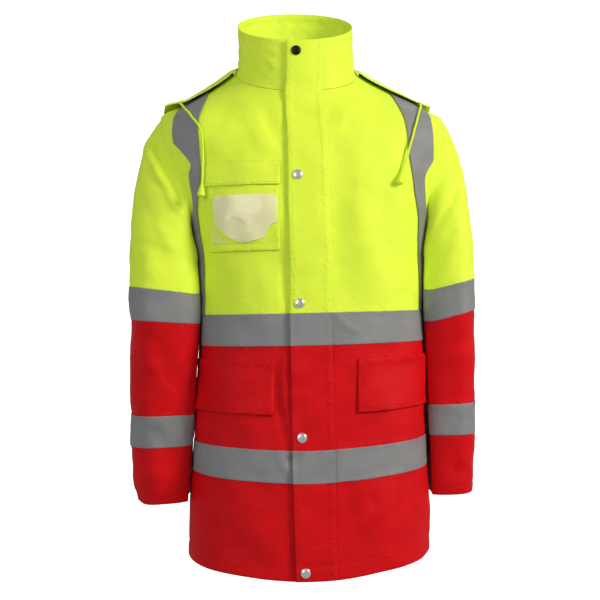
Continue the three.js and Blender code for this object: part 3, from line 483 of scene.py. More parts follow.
def groove(distance, width, depth):
    """The pull of a stitched line: a narrow bell-shaped trough with a softer and wider one round it."""
    return -depth * (0.7 * np.exp(-(distance / width) ** 2) + 0.3 * np.exp(-(distance / (3 * width)) ** 2))


def armhole_line(behind, hand, count=90):
    """The armhole in cloth coordinates, as distances from the centre front and levels."""
    turn = np.linspace(0.02, np.pi - 0.02, count)
    levels = armhole_level(turn)
    return distances_at(armhole_angle(levels, behind, hand), levels), levels


ARMHOLE_LINES = {(behind, hand): armhole_line(behind, hand) for behind in (False, True) for hand in ARMHOLE_FRONT}


def from_armhole(distance, level, behind):
    """Nearest distance in the cloth from each point to the armhole's edge, on the side where most of it lies."""
    line_d, line_l = ARMHOLE_LINES[behind, "right" if distance.mean() < 0 else "left"]
    flat_d = np.abs(distance).ravel()
    flat_l = np.broadcast_to(level, distance.shape).ravel()
    near = np.full(flat_d.shape, 1e9)
    for d, l in zip(line_d, line_l):
        near = np.minimum(near, (flat_d - d) ** 2 + (flat_l - l) ** 2)
    return np.sqrt(near).reshape(distance.shape)


def body_relief(distance, level, angle):
    """How far the body's cloth stands out of its plain form: folds, soft ripples, and the pull of the seams."""
    level = np.broadcast_to(level, distance.shape)
    plain = body_surface(angle, level)
    x, z = plain[..., 0], plain[..., 2]
    facing = np.cos(angle)
    front = ease(0.5 + 1.6 * facing)
    strength = scene_sizes().fold_strength
    folds = front * fold_field(x, z, FRONT_FOLDS) + (1 - front) * fold_field(x, z, BACK_FOLDS)
    soft = 0.8 * ripple(distance, level, 120, 3) + 0.32 * ripple(distance, level, 42, 4)
    neck = ease((-12 - level) / 50)
    relief = strength * neck * (folds + soft)
    relief += groove(level - (HEM + HEM_STITCH), 3.2, 1.3)
    for edge in (CHEST_TAPE_TOP, CHEST_TAPE_END, LOW_TAPE_TOP, LOW_TAPE_END):
        relief += groove(level - edge, 4, 0.45)
    side = np.abs(np.abs(distance) - edge_plain(level))
    relief += np.where(level < UNDERARM, groove(side, 5, 1.2), 0)
    near = np.where(facing > 0, from_armhole(distance, level, False), from_armhole(distance, level, True))
    relief += 0.7 * np.exp(-((near - 4) / 5) ** 2) + groove(near - 9, 3, 0.9)
    return relief


def edge_plain(level):
    """Distance of the side seam for a whole grid of levels, from its rows."""
    rows = np.asarray(level)[:, 0]
    return distances_at(np.full(rows.shape, np.pi / 2), rows)[:, None]


# Meshes

def lines(start, end, step):
    """Places from start to end about a step apart, with closer ones at both ends, where the edge rounds off."""
    sign = 1 if end > start else -1
    inset = np.array([0, 0.35, 0.9, EDGE])
    count = max(2, int(round((abs(end - start) - 2 * EDGE) / step)))
    middle = np.linspace(start + sign * EDGE, end - sign * EDGE, count + 1)[1:-1]
    return np.concatenate([start + sign * inset, middle, end - sign * inset[::-1]])


def rounding(rows, cols, open_rows=True, open_cols=True):
    """Share of the wall's thickness at each place of a grid: 1 in the middle, falling as a quarter circle to a
    third at the edges. rows and cols are the distances from the nearest edge."""
    share = np.ones((len(rows), len(cols)))
    for near, is_open, shape in ((rows, open_rows, (-1, 1)), (cols, open_cols, (1, -1))):
        if is_open:
            t = np.clip(near / EDGE, 0, 1)
            share = share * (0.35 + 0.65 * np.sqrt(1 - (1 - t) ** 2)).reshape(shape)
    return share


def from_edges(places):
    """Distance of each place in a list from the nearer end of the list."""
    return np.minimum(np.abs(places - places[0]), np.abs(places - places[-1]))


def wall_faces(rows, cols, ring):
    """Quads of a closed wall between two grids of points, the outer one first."""
    i, j = np.meshgrid(np.arange(rows - 1), np.arange(cols if ring else cols - 1), indexing="ij")
    j2 = (j + 1) % cols
    size = rows * cols
    a, b, c, d = i * cols + j, i * cols + j2, (i + 1) * cols + j2, (i + 1) * cols + j
    faces = [np.stack([a, b, c, d], -1).reshape(-1, 4), np.stack([a, d, c, b], -1).reshape(-1, 4) + size]
    k = np.arange(cols if ring else cols - 1)
    k2 = (k + 1) % cols
    last = (rows - 1) * cols
    faces.append(np.stack([k, k + size, k2 + size, k2], -1))
    faces.append(np.stack([last + k, last + k2, last + k2 + size, last + k + size], -1))
    if not ring:
        m = np.arange(rows - 1) * cols
        n = m + cols - 1
        faces.append(np.stack([m, m + cols, m + cols + size, m + size], -1))
        faces.append(np.stack([n, n + size, n + cols + size, n + cols], -1))
    return np.concatenate(faces)


def facing_out(points, faces):
    """The faces, turned round where they enclose a negative volume."""
    a = points[faces[:, 0]]
    volume = 0
    for k in range(1, faces.shape[1] - 1):
        volume += np.einsum("ij,ij->", a, np.cross(points[faces[:, k]], points[faces[:, k + 1]]))
    return faces[:, ::-1] if volume < 0 else faces


def make_mesh(name, points, faces, material, uv=None, seam=None, smooth=True):
    """A mesh object at the origin from points in millimetres, with a UV map in metres and the seam mask."""
    faces = facing_out(points, faces)
    mesh = bpy.data.meshes.new(name)
    mesh.from_pydata((points * MM).tolist(), [], faces.tolist())
    if uv is not None:
        layer = mesh.uv_layers.new(name="cloth")
        corner = np.empty(len(mesh.loops), dtype=np.int32)
        mesh.loops.foreach_get("vertex_index", corner)
        layer.data.foreach_set("uv", (uv[corner] * MM).astype(np.float32).ravel())
    if seam is not None:
        mask = mesh.attributes.new("seam", "FLOAT", "POINT")
        mask.data.foreach_set("value", np.clip(seam, 0, 1).astype(np.float32).ravel())
    mesh.polygons.foreach_set("use_smooth", np.full(len(mesh.polygons), smooth))
    mesh.set_sharp_from_angle(angle=math.radians(60))
    mesh.update()
    made = bpy.data.objects.new(name, mesh)
    bpy.context.scene.collection.objects.link(made)
    mesh.materials.append(material)
    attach(made, "root")
    return made


def cloth(name, outer, inner, plain, material, slot, uv, seam, node=None, ring=False, held="hung", on=()):
    """A closed wall of cloth between two grids. It stands for its CAD node, whose part it hides. The plain form is
    not used."""
    rows, cols = outer.shape[:2]
    points = np.concatenate([outer.reshape(-1, 3), inner.reshape(-1, 3)])
    faces = wall_faces(rows, cols, ring)
    both = np.concatenate([uv.reshape(-1, 2)] * 2)
    mask = np.concatenate([seam.ravel()] * 2)
    made = make_mesh(name, points, faces, material, both, mask)
    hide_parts(*([node] if node else [name.replace("cloth_", "")]))
    return made


def on_body(name, levels, distance, lift, thickness, material, slot, shape=None, extra=0, seam=None, **words):
    """A piece on the body: a wall from its lift above the cloth, as thick as its thickness, rounded off at its
    edges. distance holds one row of signed distances from the centre front for each level."""
    angle = angles_at(distance, levels)
    level = levels[:, None]
    relief = body_relief(distance, level, angle) + extra
    base = body_surface(angle, level)
    normal = body_normal(angle, level)
    if shape is None:
        shape = rounding(from_edges(levels), from_edges(distance[len(distance) // 2]))
    outer = base + normal * (lift + relief + thickness * shape)[..., None]
    inner = base + normal * (lift + relief)[..., None]
    uv = np.stack([distance, np.broadcast_to(level, distance.shape)], axis=-1)
    if seam is None:
        seam = np.zeros(distance.shape)
    return cloth(name, outer, inner, base, material, slot, uv, seam, **words)


def scene_sizes():
    """The sizes that a user can change."""
    return bpy.context.scene.jacket_sizes


def scene_colours():
    """The colours that a user can change."""
    return bpy.context.scene.jacket_colours

# Finishes

def group_weave():
    """Plain weave, made once: height from two crossed sines of the cloth's own coordinates, softened by noise,
    and a mask of uneven dye."""
    tree = bpy.data.node_groups.new("Plain weave", "ShaderNodeTree")
    face = tree.interface
    face.new_socket("Threads per metre", in_out="INPUT", socket_type="NodeSocketFloat").default_value = 1100
    face.new_socket("Crumple size", in_out="INPUT", socket_type="NodeSocketFloat").default_value = 60
    face.new_socket("Height", in_out="OUTPUT", socket_type="NodeSocketFloat")
    face.new_socket("Crumple", in_out="OUTPUT", socket_type="NodeSocketFloat")
    face.new_socket("Pucker", in_out="OUTPUT", socket_type="NodeSocketFloat")
    nodes, links = tree.nodes, tree.links
    start = nodes.new("NodeGroupInput")
    end = nodes.new("NodeGroupOutput")
    coords = nodes.new("ShaderNodeUVMap")
    coords.uv_map = "cloth"
    split = nodes.new("ShaderNodeSeparateXYZ")
    links.new(coords.outputs["UV"], split.inputs[0])
    waves = []
    for axis in (0, 1):
        scaled = nodes.new("ShaderNodeMath")
        scaled.operation = "MULTIPLY"
        links.new(split.outputs[axis], scaled.inputs[0])
        links.new(start.outputs["Threads per metre"], scaled.inputs[1])
        wave = nodes.new("ShaderNodeMath")
        wave.operation = "SINE"
        links.new(scaled.outputs[0], wave.inputs[0])
        waves.append(wave)
    crossed = nodes.new("ShaderNodeMath")
    crossed.operation = "MULTIPLY"
    links.new(waves[0].outputs[0], crossed.inputs[0])
    links.new(waves[1].outputs[0], crossed.inputs[1])
    links.new(crossed.outputs[0], end.inputs["Height"])
    crumple = nodes.new("ShaderNodeTexNoise")
    crumple.inputs["Detail"].default_value = 4
    crumple.inputs["Roughness"].default_value = 0.55
    crumple.inputs["Distortion"].default_value = 0.6
    links.new(coords.outputs["UV"], crumple.inputs["Vector"])
    links.new(start.outputs["Crumple size"], crumple.inputs["Scale"])
    links.new(crumple.outputs["Fac"], end.inputs["Crumple"])
    pucker = nodes.new("ShaderNodeTexNoise")
    pucker.inputs["Scale"].default_value = 150
    pucker.inputs["Detail"].default_value = 1
    links.new(coords.outputs["UV"], pucker.inputs["Vector"])
    mask = nodes.new("ShaderNodeAttribute")
    mask.attribute_name = "seam"
    pulled = nodes.new("ShaderNodeMath")
    pulled.operation = "MULTIPLY"
    links.new(pucker.outputs["Fac"], pulled.inputs[0])
    links.new(mask.outputs["Fac"], pulled.inputs[1])
    links.new(pulled.outputs[0], end.inputs["Pucker"])
    return tree


def shader(name):
    """A new material and its Principled shader."""
    material = bpy.data.materials.new(name)
    material.use_nodes = True
    return material, material.node_tree, material.node_tree.nodes["Principled BSDF"]


def bump(tree, height, strength, distance, normal=None):
    """A Bump node on a height, after another normal where one is given."""
    node = tree.nodes.new("ShaderNodeBump")
    node.inputs["Strength"].default_value = strength
    node.inputs["Distance"].default_value = distance
    tree.links.new(height, node.inputs["Height"])
    if normal is not None:
        tree.links.new(normal, node.inputs["Normal"])
    return node.outputs["Normal"]


def tint(tree, mask, low, high, start, end):
    """Colours along a mask: from low at start to high at end."""
    node = tree.nodes.new("ShaderNodeValToRGB")
    node.color_ramp.elements[0].position = start
    node.color_ramp.elements[0].color = (*low, 1)
    node.color_ramp.elements[1].position = end
    node.color_ramp.elements[1].color = (*high, 1)
    tree.links.new(mask, node.inputs[0])
    return node.outputs[0]


def shade(colour, share):
    """A colour made lighter or darker by a share."""
    return tuple(min(1.0, c * share) for c in colour)


def woven(name, colour, weave, roughness, crumple, pucker, gloss, dark=0.93, light=1.05):
    """Woven cloth: uneven dye over crumples, with bumps from the thread, the crumples and the seam puckers."""
    material, tree, principled = shader(name)
    base = tree.nodes.new("ShaderNodeGroup")
    base.node_tree = weave
    base.inputs["Threads per metre"].default_value = 7000
    base.inputs["Crumple size"].default_value = 26
    colour_out = tint(tree, base.outputs["Crumple"], shade(colour, dark), shade(colour, light), 0.3, 0.7)
    tree.links.new(colour_out, principled.inputs["Base Color"])
    principled.inputs["Roughness"].default_value = roughness
    principled.inputs["Specular IOR Level"].default_value = gloss
    normal = bump(tree, base.outputs["Crumple"], 1.0, crumple)
    normal = bump(tree, base.outputs["Pucker"], 1.0, pucker, normal)
    normal = bump(tree, base.outputs["Height"], 0.35, 0.00012, normal)
    tree.links.new(normal, principled.inputs["Normal"])
    return material


def metal(name, colour, roughness):
    """Pressed metal with fine rubbed marks in its roughness."""
    material, tree, principled = shader(name)
    coords = tree.nodes.new("ShaderNodeTexCoord")
    noise = tree.nodes.new("ShaderNodeTexNoise")
    noise.inputs["Scale"].default_value = 900
    noise.inputs["Detail"].default_value = 3
    tree.links.new(coords.outputs["Object"], noise.inputs["Vector"])
    spread = tree.nodes.new("ShaderNodeMapRange")
    spread.inputs["To Min"].default_value = roughness * 0.8
    spread.inputs["To Max"].default_value = roughness * 1.4
    tree.links.new(noise.outputs["Fac"], spread.inputs["Value"])
    tree.links.new(spread.outputs[0], principled.inputs["Roughness"])
    tree.links.new(tint(tree, noise.outputs["Fac"], shade(colour, 0.9), colour, 0.3, 0.6),
                   principled.inputs["Base Color"])
    principled.inputs["Metallic"].default_value = 1
    tree.links.new(bump(tree, noise.outputs["Fac"], 0.2, 0.00005), principled.inputs["Normal"])
    return material


finishes = {}


def make_finishes():
    """Every material of the jacket, by its slot's name."""
    colours = scene_colours()
    weave = group_weave()
    yellow, red, tape = tuple(colours.yellow), tuple(colours.red), tuple(colours.tape)
    finishes["yellow"] = woven("Yellow coated cloth", yellow, weave, 0.6, 0.0014, 0.0018, 0.25, 0.95, 1.03)
    finishes["red"] = woven("Red coated cloth", red, weave, 0.55, 0.0016, 0.0018, 0.1, 0.9, 1.06)
    finishes["tape"] = woven("Reflective tape", tape, weave, 0.5, 0.0012, 0.0014, 0.35, 0.92, 1.05)
    finishes["cord"] = woven("Braided cord", shade(yellow, 0.98), weave, 0.6, 0.0003, 0.0, 0.2)
    finishes["steel"] = metal("Snap steel", tuple(colours.steel), 0.24)
    finishes["dark"] = metal("Dark snap", tuple(colours.dark), 0.35)
    finishes["thread_yellow"] = plain_thread("Yellow thread", shade(yellow, 0.9))
    finishes["thread_red"] = plain_thread("Red thread", shade(red, 0.8))
    finishes["thread_grey"] = plain_thread("Grey thread", shade(tape, 1.25))
    # the window colour is the pale cream of the painted glare on the film
    finishes["clear"] = clear_film_with_painted_glare(tuple(colours.window), weave)


def plain_thread(name, colour):
    """Spun thread: a fine mottle on a matt colour."""
    material, tree, principled = shader(name)
    coords = tree.nodes.new("ShaderNodeTexCoord")
    noise = tree.nodes.new("ShaderNodeTexNoise")
    noise.inputs["Scale"].default_value = 1500
    tree.links.new(coords.outputs["Object"], noise.inputs["Vector"])
    tree.links.new(tint(tree, noise.outputs["Fac"], shade(colour, 0.85), colour, 0.35, 0.65),
                   principled.inputs["Base Color"])
    principled.inputs["Roughness"].default_value = 0.7
    return material


def beyond(tree, coords, circle, soft):
    """0 inside a circle of the cloth's coordinates and 1 outside it, with a soft edge."""
    x, z, radius = circle
    away = tree.nodes.new("ShaderNodeVectorMath")
    away.operation = "DISTANCE"
    tree.links.new(coords, away.inputs[0])
    away.inputs[1].default_value = (x * MM, z * MM, 0)
    spread = tree.nodes.new("ShaderNodeMapRange")
    spread.inputs["From Min"].default_value = (radius - soft) * MM
    spread.inputs["From Max"].default_value = (radius + soft) * MM
    tree.links.new(away.outputs["Value"], spread.inputs["Value"])
    return spread.outputs[0]


def joined(tree, operation, first, second):
    """One value from two, or from a value and a number."""
    node = tree.nodes.new("ShaderNodeMath")
    node.operation = operation
    tree.links.new(first, node.inputs[0])
    if isinstance(second, (int, float)):
        node.inputs[1].default_value = second
    else:
        tree.links.new(second, node.inputs[1])
    return node.outputs[0]


def clear_film_with_painted_glare(colour, weave):
    """Clear glossy plastic film with painted glare: a pale cream coat, nearly opaque inside one circle and weaker
    outside a second. In a crescent between them and in the lower corner it is clear, and the pocket shows through."""
    material, tree, principled = shader("Clear window film with painted glare")
    base = tree.nodes.new("ShaderNodeGroup")
    base.node_tree = weave
    base.inputs["Crumple size"].default_value = 22
    coords = tree.nodes.new("ShaderNodeUVMap")
    coords.uv_map = "cloth"
    noise = tree.nodes.new("ShaderNodeTexNoise")
    noise.inputs["Scale"].default_value = 45
    noise.inputs["Detail"].default_value = 1
    tree.links.new(coords.outputs["UV"], noise.inputs["Vector"])
    bent = tree.nodes.new("ShaderNodeVectorMath")
    bent.operation = "MULTIPLY_ADD"
    tree.links.new(noise.outputs["Color"], bent.inputs[0])
    bent.inputs[1].default_value = (WINDOW_BEND * MM, WINDOW_BEND * MM, 0)
    tree.links.new(coords.outputs["UV"], bent.inputs[2])
    # Opacity of the painted glare: strongest inside the inner circle, none in the crescent and the lower corner,
    # weaker outside the outer circle
    outside = joined(tree, "MULTIPLY", beyond(tree, bent.outputs[0], WINDOW_OUTER, 0.8), 0.3)
    crescent = joined(tree, "SUBTRACT", beyond(tree, bent.outputs[0], WINDOW_INNER, 0.5), outside)
    clear = joined(tree, "SUBTRACT", beyond(tree, bent.outputs[0], WINDOW_CORNER, 1.0), crescent)
    glare_opacity = joined(tree, "MULTIPLY", clear, WINDOW_GLARE_OPACITY)
    tree.links.new(glare_opacity, principled.inputs["Alpha"])
    tree.links.new(tint(tree, base.outputs["Crumple"], shade(colour, 0.95), colour, 0.4, 0.6),
                   principled.inputs["Base Color"])
    principled.inputs["Roughness"].default_value = 0.2
    principled.inputs["Coat Weight"].default_value = 0.3
    tree.links.new(bump(tree, base.outputs["Crumple"], 1.0, 0.002), principled.inputs["Normal"])
    return material


# Camera and cords

def place_camera():
    """The camera of the photo: level, turned a little to the jacket's right side and rolled a little."""
    turn = math.radians(CAMERA_TURN)
    right = Vector((math.cos(turn), math.sin(turn), 0))
    ahead = Vector((-math.sin(turn), math.cos(turn), 0))
    up = Vector((0, 0, 1))
    place = -CAMERA_DISTANCE * ahead + CAMERA_ASIDE * right
    place.z = CAMERA_HEIGHT
    facing = Matrix((right, up, -ahead)).transposed() @ Matrix.Rotation(math.radians(CAMERA_ROLL), 3, "Z")
    data = bpy.data.cameras.new("Camera")
    data.sensor_width = CAMERA_SENSOR
    data.lens = CAMERA_LENS
    camera = bpy.data.objects.new("Camera", data)
    camera.matrix_world = Matrix.Translation(place) @ facing.to_4x4()
    bpy.context.scene.collection.objects.link(camera)
    bpy.context.scene.camera = camera


def spline_points(route, count):
    """A Catmull-Rom curve through the route's points, at even parameters: between two points it is the cubic
    whose slopes are half the step between their neighbours."""
    p = np.array(route, float)
    p = np.concatenate([[2 * p[0] - p[1]], p, [2 * p[-1] - p[-2]]])
    at = np.linspace(0, len(route) - 1, count)
    i = np.minimum(at.astype(int), len(route) - 2)
    t = (at - i)[:, None]
    a, b, c, d = p[i], p[i + 1], p[i + 2], p[i + 3]
    return 0.5 * (2 * b + (c - a) * t + (2 * a - 5 * b + 4 * c - d) * t ** 2 + (3 * b - a - 3 * c + d) * t ** 3)


def frames_along(points):
    """Two directions across a path at each of its points, turned as little as possible from one to the next."""
    tangent = unit(np.gradient(points, axis=0))
    side = np.empty_like(tangent)
    side[0] = unit(np.cross(tangent[0], (0.3, 0.2, 1)))
    for i in range(1, len(points)):
        kept = side[i - 1] - tangent[i] * np.dot(side[i - 1], tangent[i])
        side[i] = kept / np.linalg.norm(kept)
    return side, np.cross(tangent, side)


def tube_mesh(name, points, radius, sides, material):
    """A round tube along a path, closed at both ends: a circle of the path's radius at each point."""
    first, second = frames_along(points)
    turn = np.linspace(0, 2 * np.pi, sides, endpoint=False)
    radius = np.broadcast_to(radius, (len(points), sides))[..., None]
    rings = points[:, None] + radius * (first[:, None] * np.cos(turn)[None, :, None]
                                        + second[:, None] * np.sin(turn)[None, :, None])
    quads, caps = tube_faces(len(points), sides)
    at = np.concatenate([[0], np.cumsum(np.linalg.norm(np.diff(points, axis=0), axis=1))])
    uv = np.stack(np.broadcast_arrays(turn[None, :] * 2, at[:, None]), -1).reshape(-1, 2)
    all_points = np.concatenate([rings.reshape(-1, 3), points[:1], points[-1:]])
    all_uv = np.concatenate([uv, uv[:1], uv[-1:]])
    faces = np.concatenate([np.concatenate([quads[:, :3], quads[:, [0, 2, 3]]]), caps])
    return make_mesh(name, all_points, faces, material, all_uv)


def tube_faces(rows, sides):
    """Quads of an open tube of rings, and the triangles that close its ends to two added middle points."""
    i, j = np.meshgrid(np.arange(rows - 1), np.arange(sides), indexing="ij")
    j2 = (j + 1) % sides
    quads = np.stack([i * sides + j, i * sides + j2, (i + 1) * sides + j2, (i + 1) * sides + j], -1).reshape(-1, 4)
    k = np.arange(sides)
    k2 = (k + 1) % sides
    start, end = rows * sides, rows * sides + 1
    last = (rows - 1) * sides
    low = np.stack([np.full(sides, start), k2, k], -1)
    high = np.stack([np.full(sides, end), last + k, last + k2], -1)
    return quads, np.concatenate([low, high])


def cord(name, route):
    """A drawcord: a tube along its route, its surface raised in a braid of two crossed spirals."""
    points = spline_points(route, 220)
    sides = 14
    turn = np.linspace(0, 2 * np.pi, sides, endpoint=False)
    at = np.concatenate([[0], np.cumsum(np.linalg.norm(np.diff(points, axis=0), axis=1))])[:, None]
    braid = 0.12 * np.abs(np.sin(at * 1.1 + 2 * turn)) + 0.12 * np.abs(np.sin(at * 1.1 - 2 * turn))
    made = tube_mesh(f"drawcord_{name}", points, CORD_DIAMETER / 2 - 0.16 + braid, sides, finishes["cord"])
    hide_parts(f"cord_{name}")
    end = cord_end(name, points)


def cord_end(name, points):
    """The bell-shaped end cap of a cord: its profile turned round the last direction of the cord."""
    way = unit(points[-1] - points[-3])
    start = points[-1] + way * SEAM
    length, neck, mouth = CORD_END["length"], CORD_END["neck"], CORD_END["mouth"]
    t = np.linspace(0, 1, 22)
    bell = neck + (mouth - neck) * ease(t / 0.86)
    bell = bell * np.sqrt(np.clip(1 - np.clip((t - 0.86) / 0.145, 0, 1) ** 2, 0.02, 1))
    bell[0] = neck * 0.8
    made = tube_mesh(f"cap_{name}", start + way * (t * length)[:, None], bell[:, None], 24, finishes["cord"])
    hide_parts(f"cord_end_{name}")
    return made


# Body

FRONT_STEP = 3.6
ROW_STEP = 4.2


def seam_mask(distance, level, edges, width=7):
    """1 on the stitched levels, fading over the width."""
    mask = np.zeros(distance.shape)
    for edge in edges:
        mask = np.maximum(mask, np.exp(-((level - edge) / width) ** 2))
    return mask


def front_distance(levels, side):
    """Distances of a front panel's columns: even shares of each level from the centre front to its edge."""
    edge = edge_distance(levels, False, "right" if side < 0 else "left") - SEAM / 2
    widest = edge.max()
    share = lines(0, widest, FRONT_STEP) / widest
    return side * (SEAM / 2 + share[None, :] * (edge - SEAM / 2)[:, None])


def back_distance(levels):
    """Distances of a back panel's columns, from one edge past the centre back to the other."""
    girth = half_girth(levels)
    half = girth - edge_distance(levels, True) - SEAM / 2
    widest = half.max()
    share = lines(-widest, widest, FRONT_STEP) / widest
    from_centre = share[None, :] * half[:, None]
    from_front = girth[:, None] - np.abs(from_centre)
    return np.where(from_centre < 0, -from_front, from_front), from_centre


def upper_levels():
    """Levels of the upper panels, closer together over the shoulder, where the rings lie almost flat."""
    low = lines(COLOUR_SEAM + SEAM / 2, -100, ROW_STEP)[:-3]
    high = [-96, -91, -86.5, -82, -78, -74.5, -71, -67, -63, -59, -55, -51, -47, -43, -39, -35, -31, -27, -23,
            -19.5, -16, -13, -10, -7.5, -5, -3.2, -1.6, -0.9, -0.5, -SEAM / 2]
    return np.concatenate([low, high])


def lower_levels():
    """Levels of the lower panels."""
    return lines(HEM, COLOUR_SEAM - SEAM / 2, ROW_STEP)


def panel(name, levels, distance, slot):
    """A front or back panel: its outside is the body's surface, its wall lies inside it."""
    level = levels[:, None]
    edges = (HEM + HEM_STITCH, CHEST_TAPE_TOP, CHEST_TAPE_END, LOW_TAPE_TOP, LOW_TAPE_END)
    mask = seam_mask(distance, np.broadcast_to(level, distance.shape), edges)
    behind = bool(np.abs(distance[len(distance) // 2]).min() > 200)
    near = from_armhole(distance, level, behind)
    mask = np.maximum(mask, np.exp(-((near - 6) / 8) ** 2))
    shape = rounding(from_edges(levels), from_edges(distance[len(distance) // 2]))
    return on_body(f"cloth_{name}", levels, distance, -SHELL, SHELL, finishes[slot], slot, shape=shape, seam=mask,
                   on=["collar"])


def build_body():
    """The two fronts and the back, each in a yellow and a red panel."""
    for side, hand in ((-1, "right"), (1, "left")):
        levels = upper_levels()
        panel(f"front_{hand}_upper", levels, front_distance(levels, side), "yellow")
        levels = lower_levels()
        panel(f"front_{hand}_lower", levels, front_distance(levels, side), "red")
    for name, levels, slot in (("back_upper", upper_levels(), "yellow"), ("back_lower", lower_levels(), "red")):
        distance, _ = back_distance(levels)
        panel(name, levels, distance, slot)


# Sleeves

def body_side(y, z, side):
    """How far out the body's side is at a depth and a height, or nothing in front of it and behind it."""
    level = np.where(z > COLOUR_SEAM, z, (z - HEM_RISE * COLOUR_SEAM) / (1 - HEM_RISE))
    depth = np.where(y < 0, body["front"](level), body["back"](level))
    power = body["power"](level)
    room = np.maximum(0, 1 - np.abs(y / depth) ** power) ** (1 / power)
    return body["across"](level) * room + side * body["shift"](level)


def sleeve_ring(turn, level, hand):
    """The sleeve at a turn (0 outwards, 90 degrees forwards) and a level: a superellipse whose inner half is
    wider and, where it would meet the body's side, follows the side at a distance. Its inner side is the lower
    one, and the cuff turns up on its outer side."""
    turn, level = np.broadcast_arrays(np.asarray(turn, float), np.asarray(level, float))
    side = -1 if hand == "right" else 1
    half = sleeve[f"wide_{hand}"](level)
    wide, deep = half + np.where(np.cos(turn) < 0, SLEEVE_INNER, 0), sleeve["deep"](level)
    reach = (np.abs(np.cos(turn) / wide) ** SLEEVE_POWER
             + np.abs(np.sin(turn) / deep) ** SLEEVE_POWER) ** (-1 / SLEEVE_POWER)
    out = reach * np.cos(turn)
    y = -sleeve["forward"](level) - reach * np.sin(turn)
    curl = sleeve[f"curl_{hand}"](level) * np.maximum(0, np.cos(turn)) ** 3
    z = level + np.maximum(out, -half) * sleeve[f"slope_{hand}"](level) + curl
    x = sleeve[f"out_{hand}"](level) + out
    least = body_side(y, z, side) + SLEEVE_CLEAR
    pressed = (x + least + np.hypot(x - least, SLEEVE_SOFT)) / 2
    share = np.clip(-4 * np.cos(turn), 0, 1)
    return np.stack([x + (pressed - x) * share, y, z], axis=-1)


def sleeve_head(turn, t, hand):
    """The sleeve head: for each turn a cubic from the armhole, where it leaves the body outwards, to the first
    section, where it runs downwards."""
    side = -1 if hand == "right" else 1
    flip = np.array([side, 1, 1])
    turn = np.asarray(turn, float)
    level = armhole_level(turn)
    angle = side * armhole_angle(level, turn > np.pi, hand)
    start = body_surface(angle, level) - body_normal(angle, level) * HEAD_TUCK
    leave = np.stack([
        (HEAD_LEAVES["out"] + HEAD_LEAVES["out_turn"] * np.cos(turn)) * CAP_REACH[hand],
        -HEAD_LEAVES["forward_turn"] * np.sin(turn),
        -HEAD_LEAVES["down"] - HEAD_LEAVES["down_turn"] * np.cos(turn),
    ], axis=-1) * flip
    start = start - unit(leave) * HEAD_TUCK
    end = sleeve_ring(turn, SLEEVE_START, hand) * flip
    arrive = np.stack([
        np.full(turn.shape, HEAD_ENDS["out"]) * side,
        np.zeros(turn.shape),
        -HEAD_ENDS["down"] - HEAD_ENDS["down_turn"] * np.cos(turn),
    ], axis=-1)
    t = np.asarray(t, float)[:, None, None]
    t2, t3 = t * t, t * t * t
    return ((2 * t3 - 3 * t2 + 1) * start + (t3 - 2 * t2 + t) * leave + (3 * t2 - 2 * t3) * end
            + (t3 - t2) * arrive)


def grid_normals(grid, side, ring=False):
    """The outward direction at each point of a grid, from the steps to its neighbours."""
    along = np.gradient(grid, axis=0)
    if ring:
        across = np.roll(grid, -1, axis=1) - np.roll(grid, 1, axis=1)
    else:
        across = np.gradient(grid, axis=1)
    return side * unit(np.cross(across, along))


SLEEVE_COLUMNS = 132


def sleeve_form(levels, hand, head=0):
    """Points, outward directions and relief of a sleeve: head rows above its first section, then its rings."""
    side = -1 if hand == "right" else 1
    turn = np.linspace(0, 2 * np.pi, SLEEVE_COLUMNS, endpoint=False)
    rings = sleeve_ring(turn[None, :], np.asarray(levels, float)[:, None], hand) * np.array([side, 1, 1])
    down = np.broadcast_to(SLEEVE_START - np.asarray(levels, float)[:, None], rings.shape[:2])
    rows = np.full(len(levels), 1e3)
    if head:
        t = np.concatenate([[0, 0.004, 0.01], np.linspace(0.02, 1, head)[:-1]])
        cap = sleeve_head(turn, t, hand)
        rings = np.concatenate([cap, rings])
        down = np.concatenate([np.broadcast_to((t[:, None] - 1) * 200, cap.shape[:2]), down])
        rows = np.concatenate([t * 150, rows])
    normal = grid_normals(rings, side, True)
    x, z = rings[..., 0], rings[..., 2]
    front = ease(0.5 + 1.4 * np.sin(turn))[None, :]
    fade = ease(rows / 26)[:, None]
    around = np.sin(turn)[None, :] * 120 + 500 * (side + 1)
    soft = 0.9 * ripple(around + 40 * np.cos(turn), down, 90, 5) + 0.35 * ripple(around, down, 38, 6)
    folds = front * fold_field(x, z, SLEEVE_FRONT_FOLDS) + (1 - front) * fold_field(x, z, SLEEVE_BACK_FOLDS)
    inside = ease(1 + np.cos(turn) * 1.6)[None, :]
    relief = scene_sizes().fold_strength * fade * inside * (folds + soft)
    for top in SLEEVE_TAPES[hand]:
        for edge in (top, top - TAPE_WIDTH):
            relief = relief + groove(down - (SLEEVE_START - edge), 4, 0.45)
    relief = relief + groove(down - (SLEEVE_START - CUFF - CUFF_STITCH), 3, 1.2)
    relief = relief + 1.2 * np.exp(-((rows - 3) / 5) ** 2)[:, None]
    return rings, normal, relief, turn, down


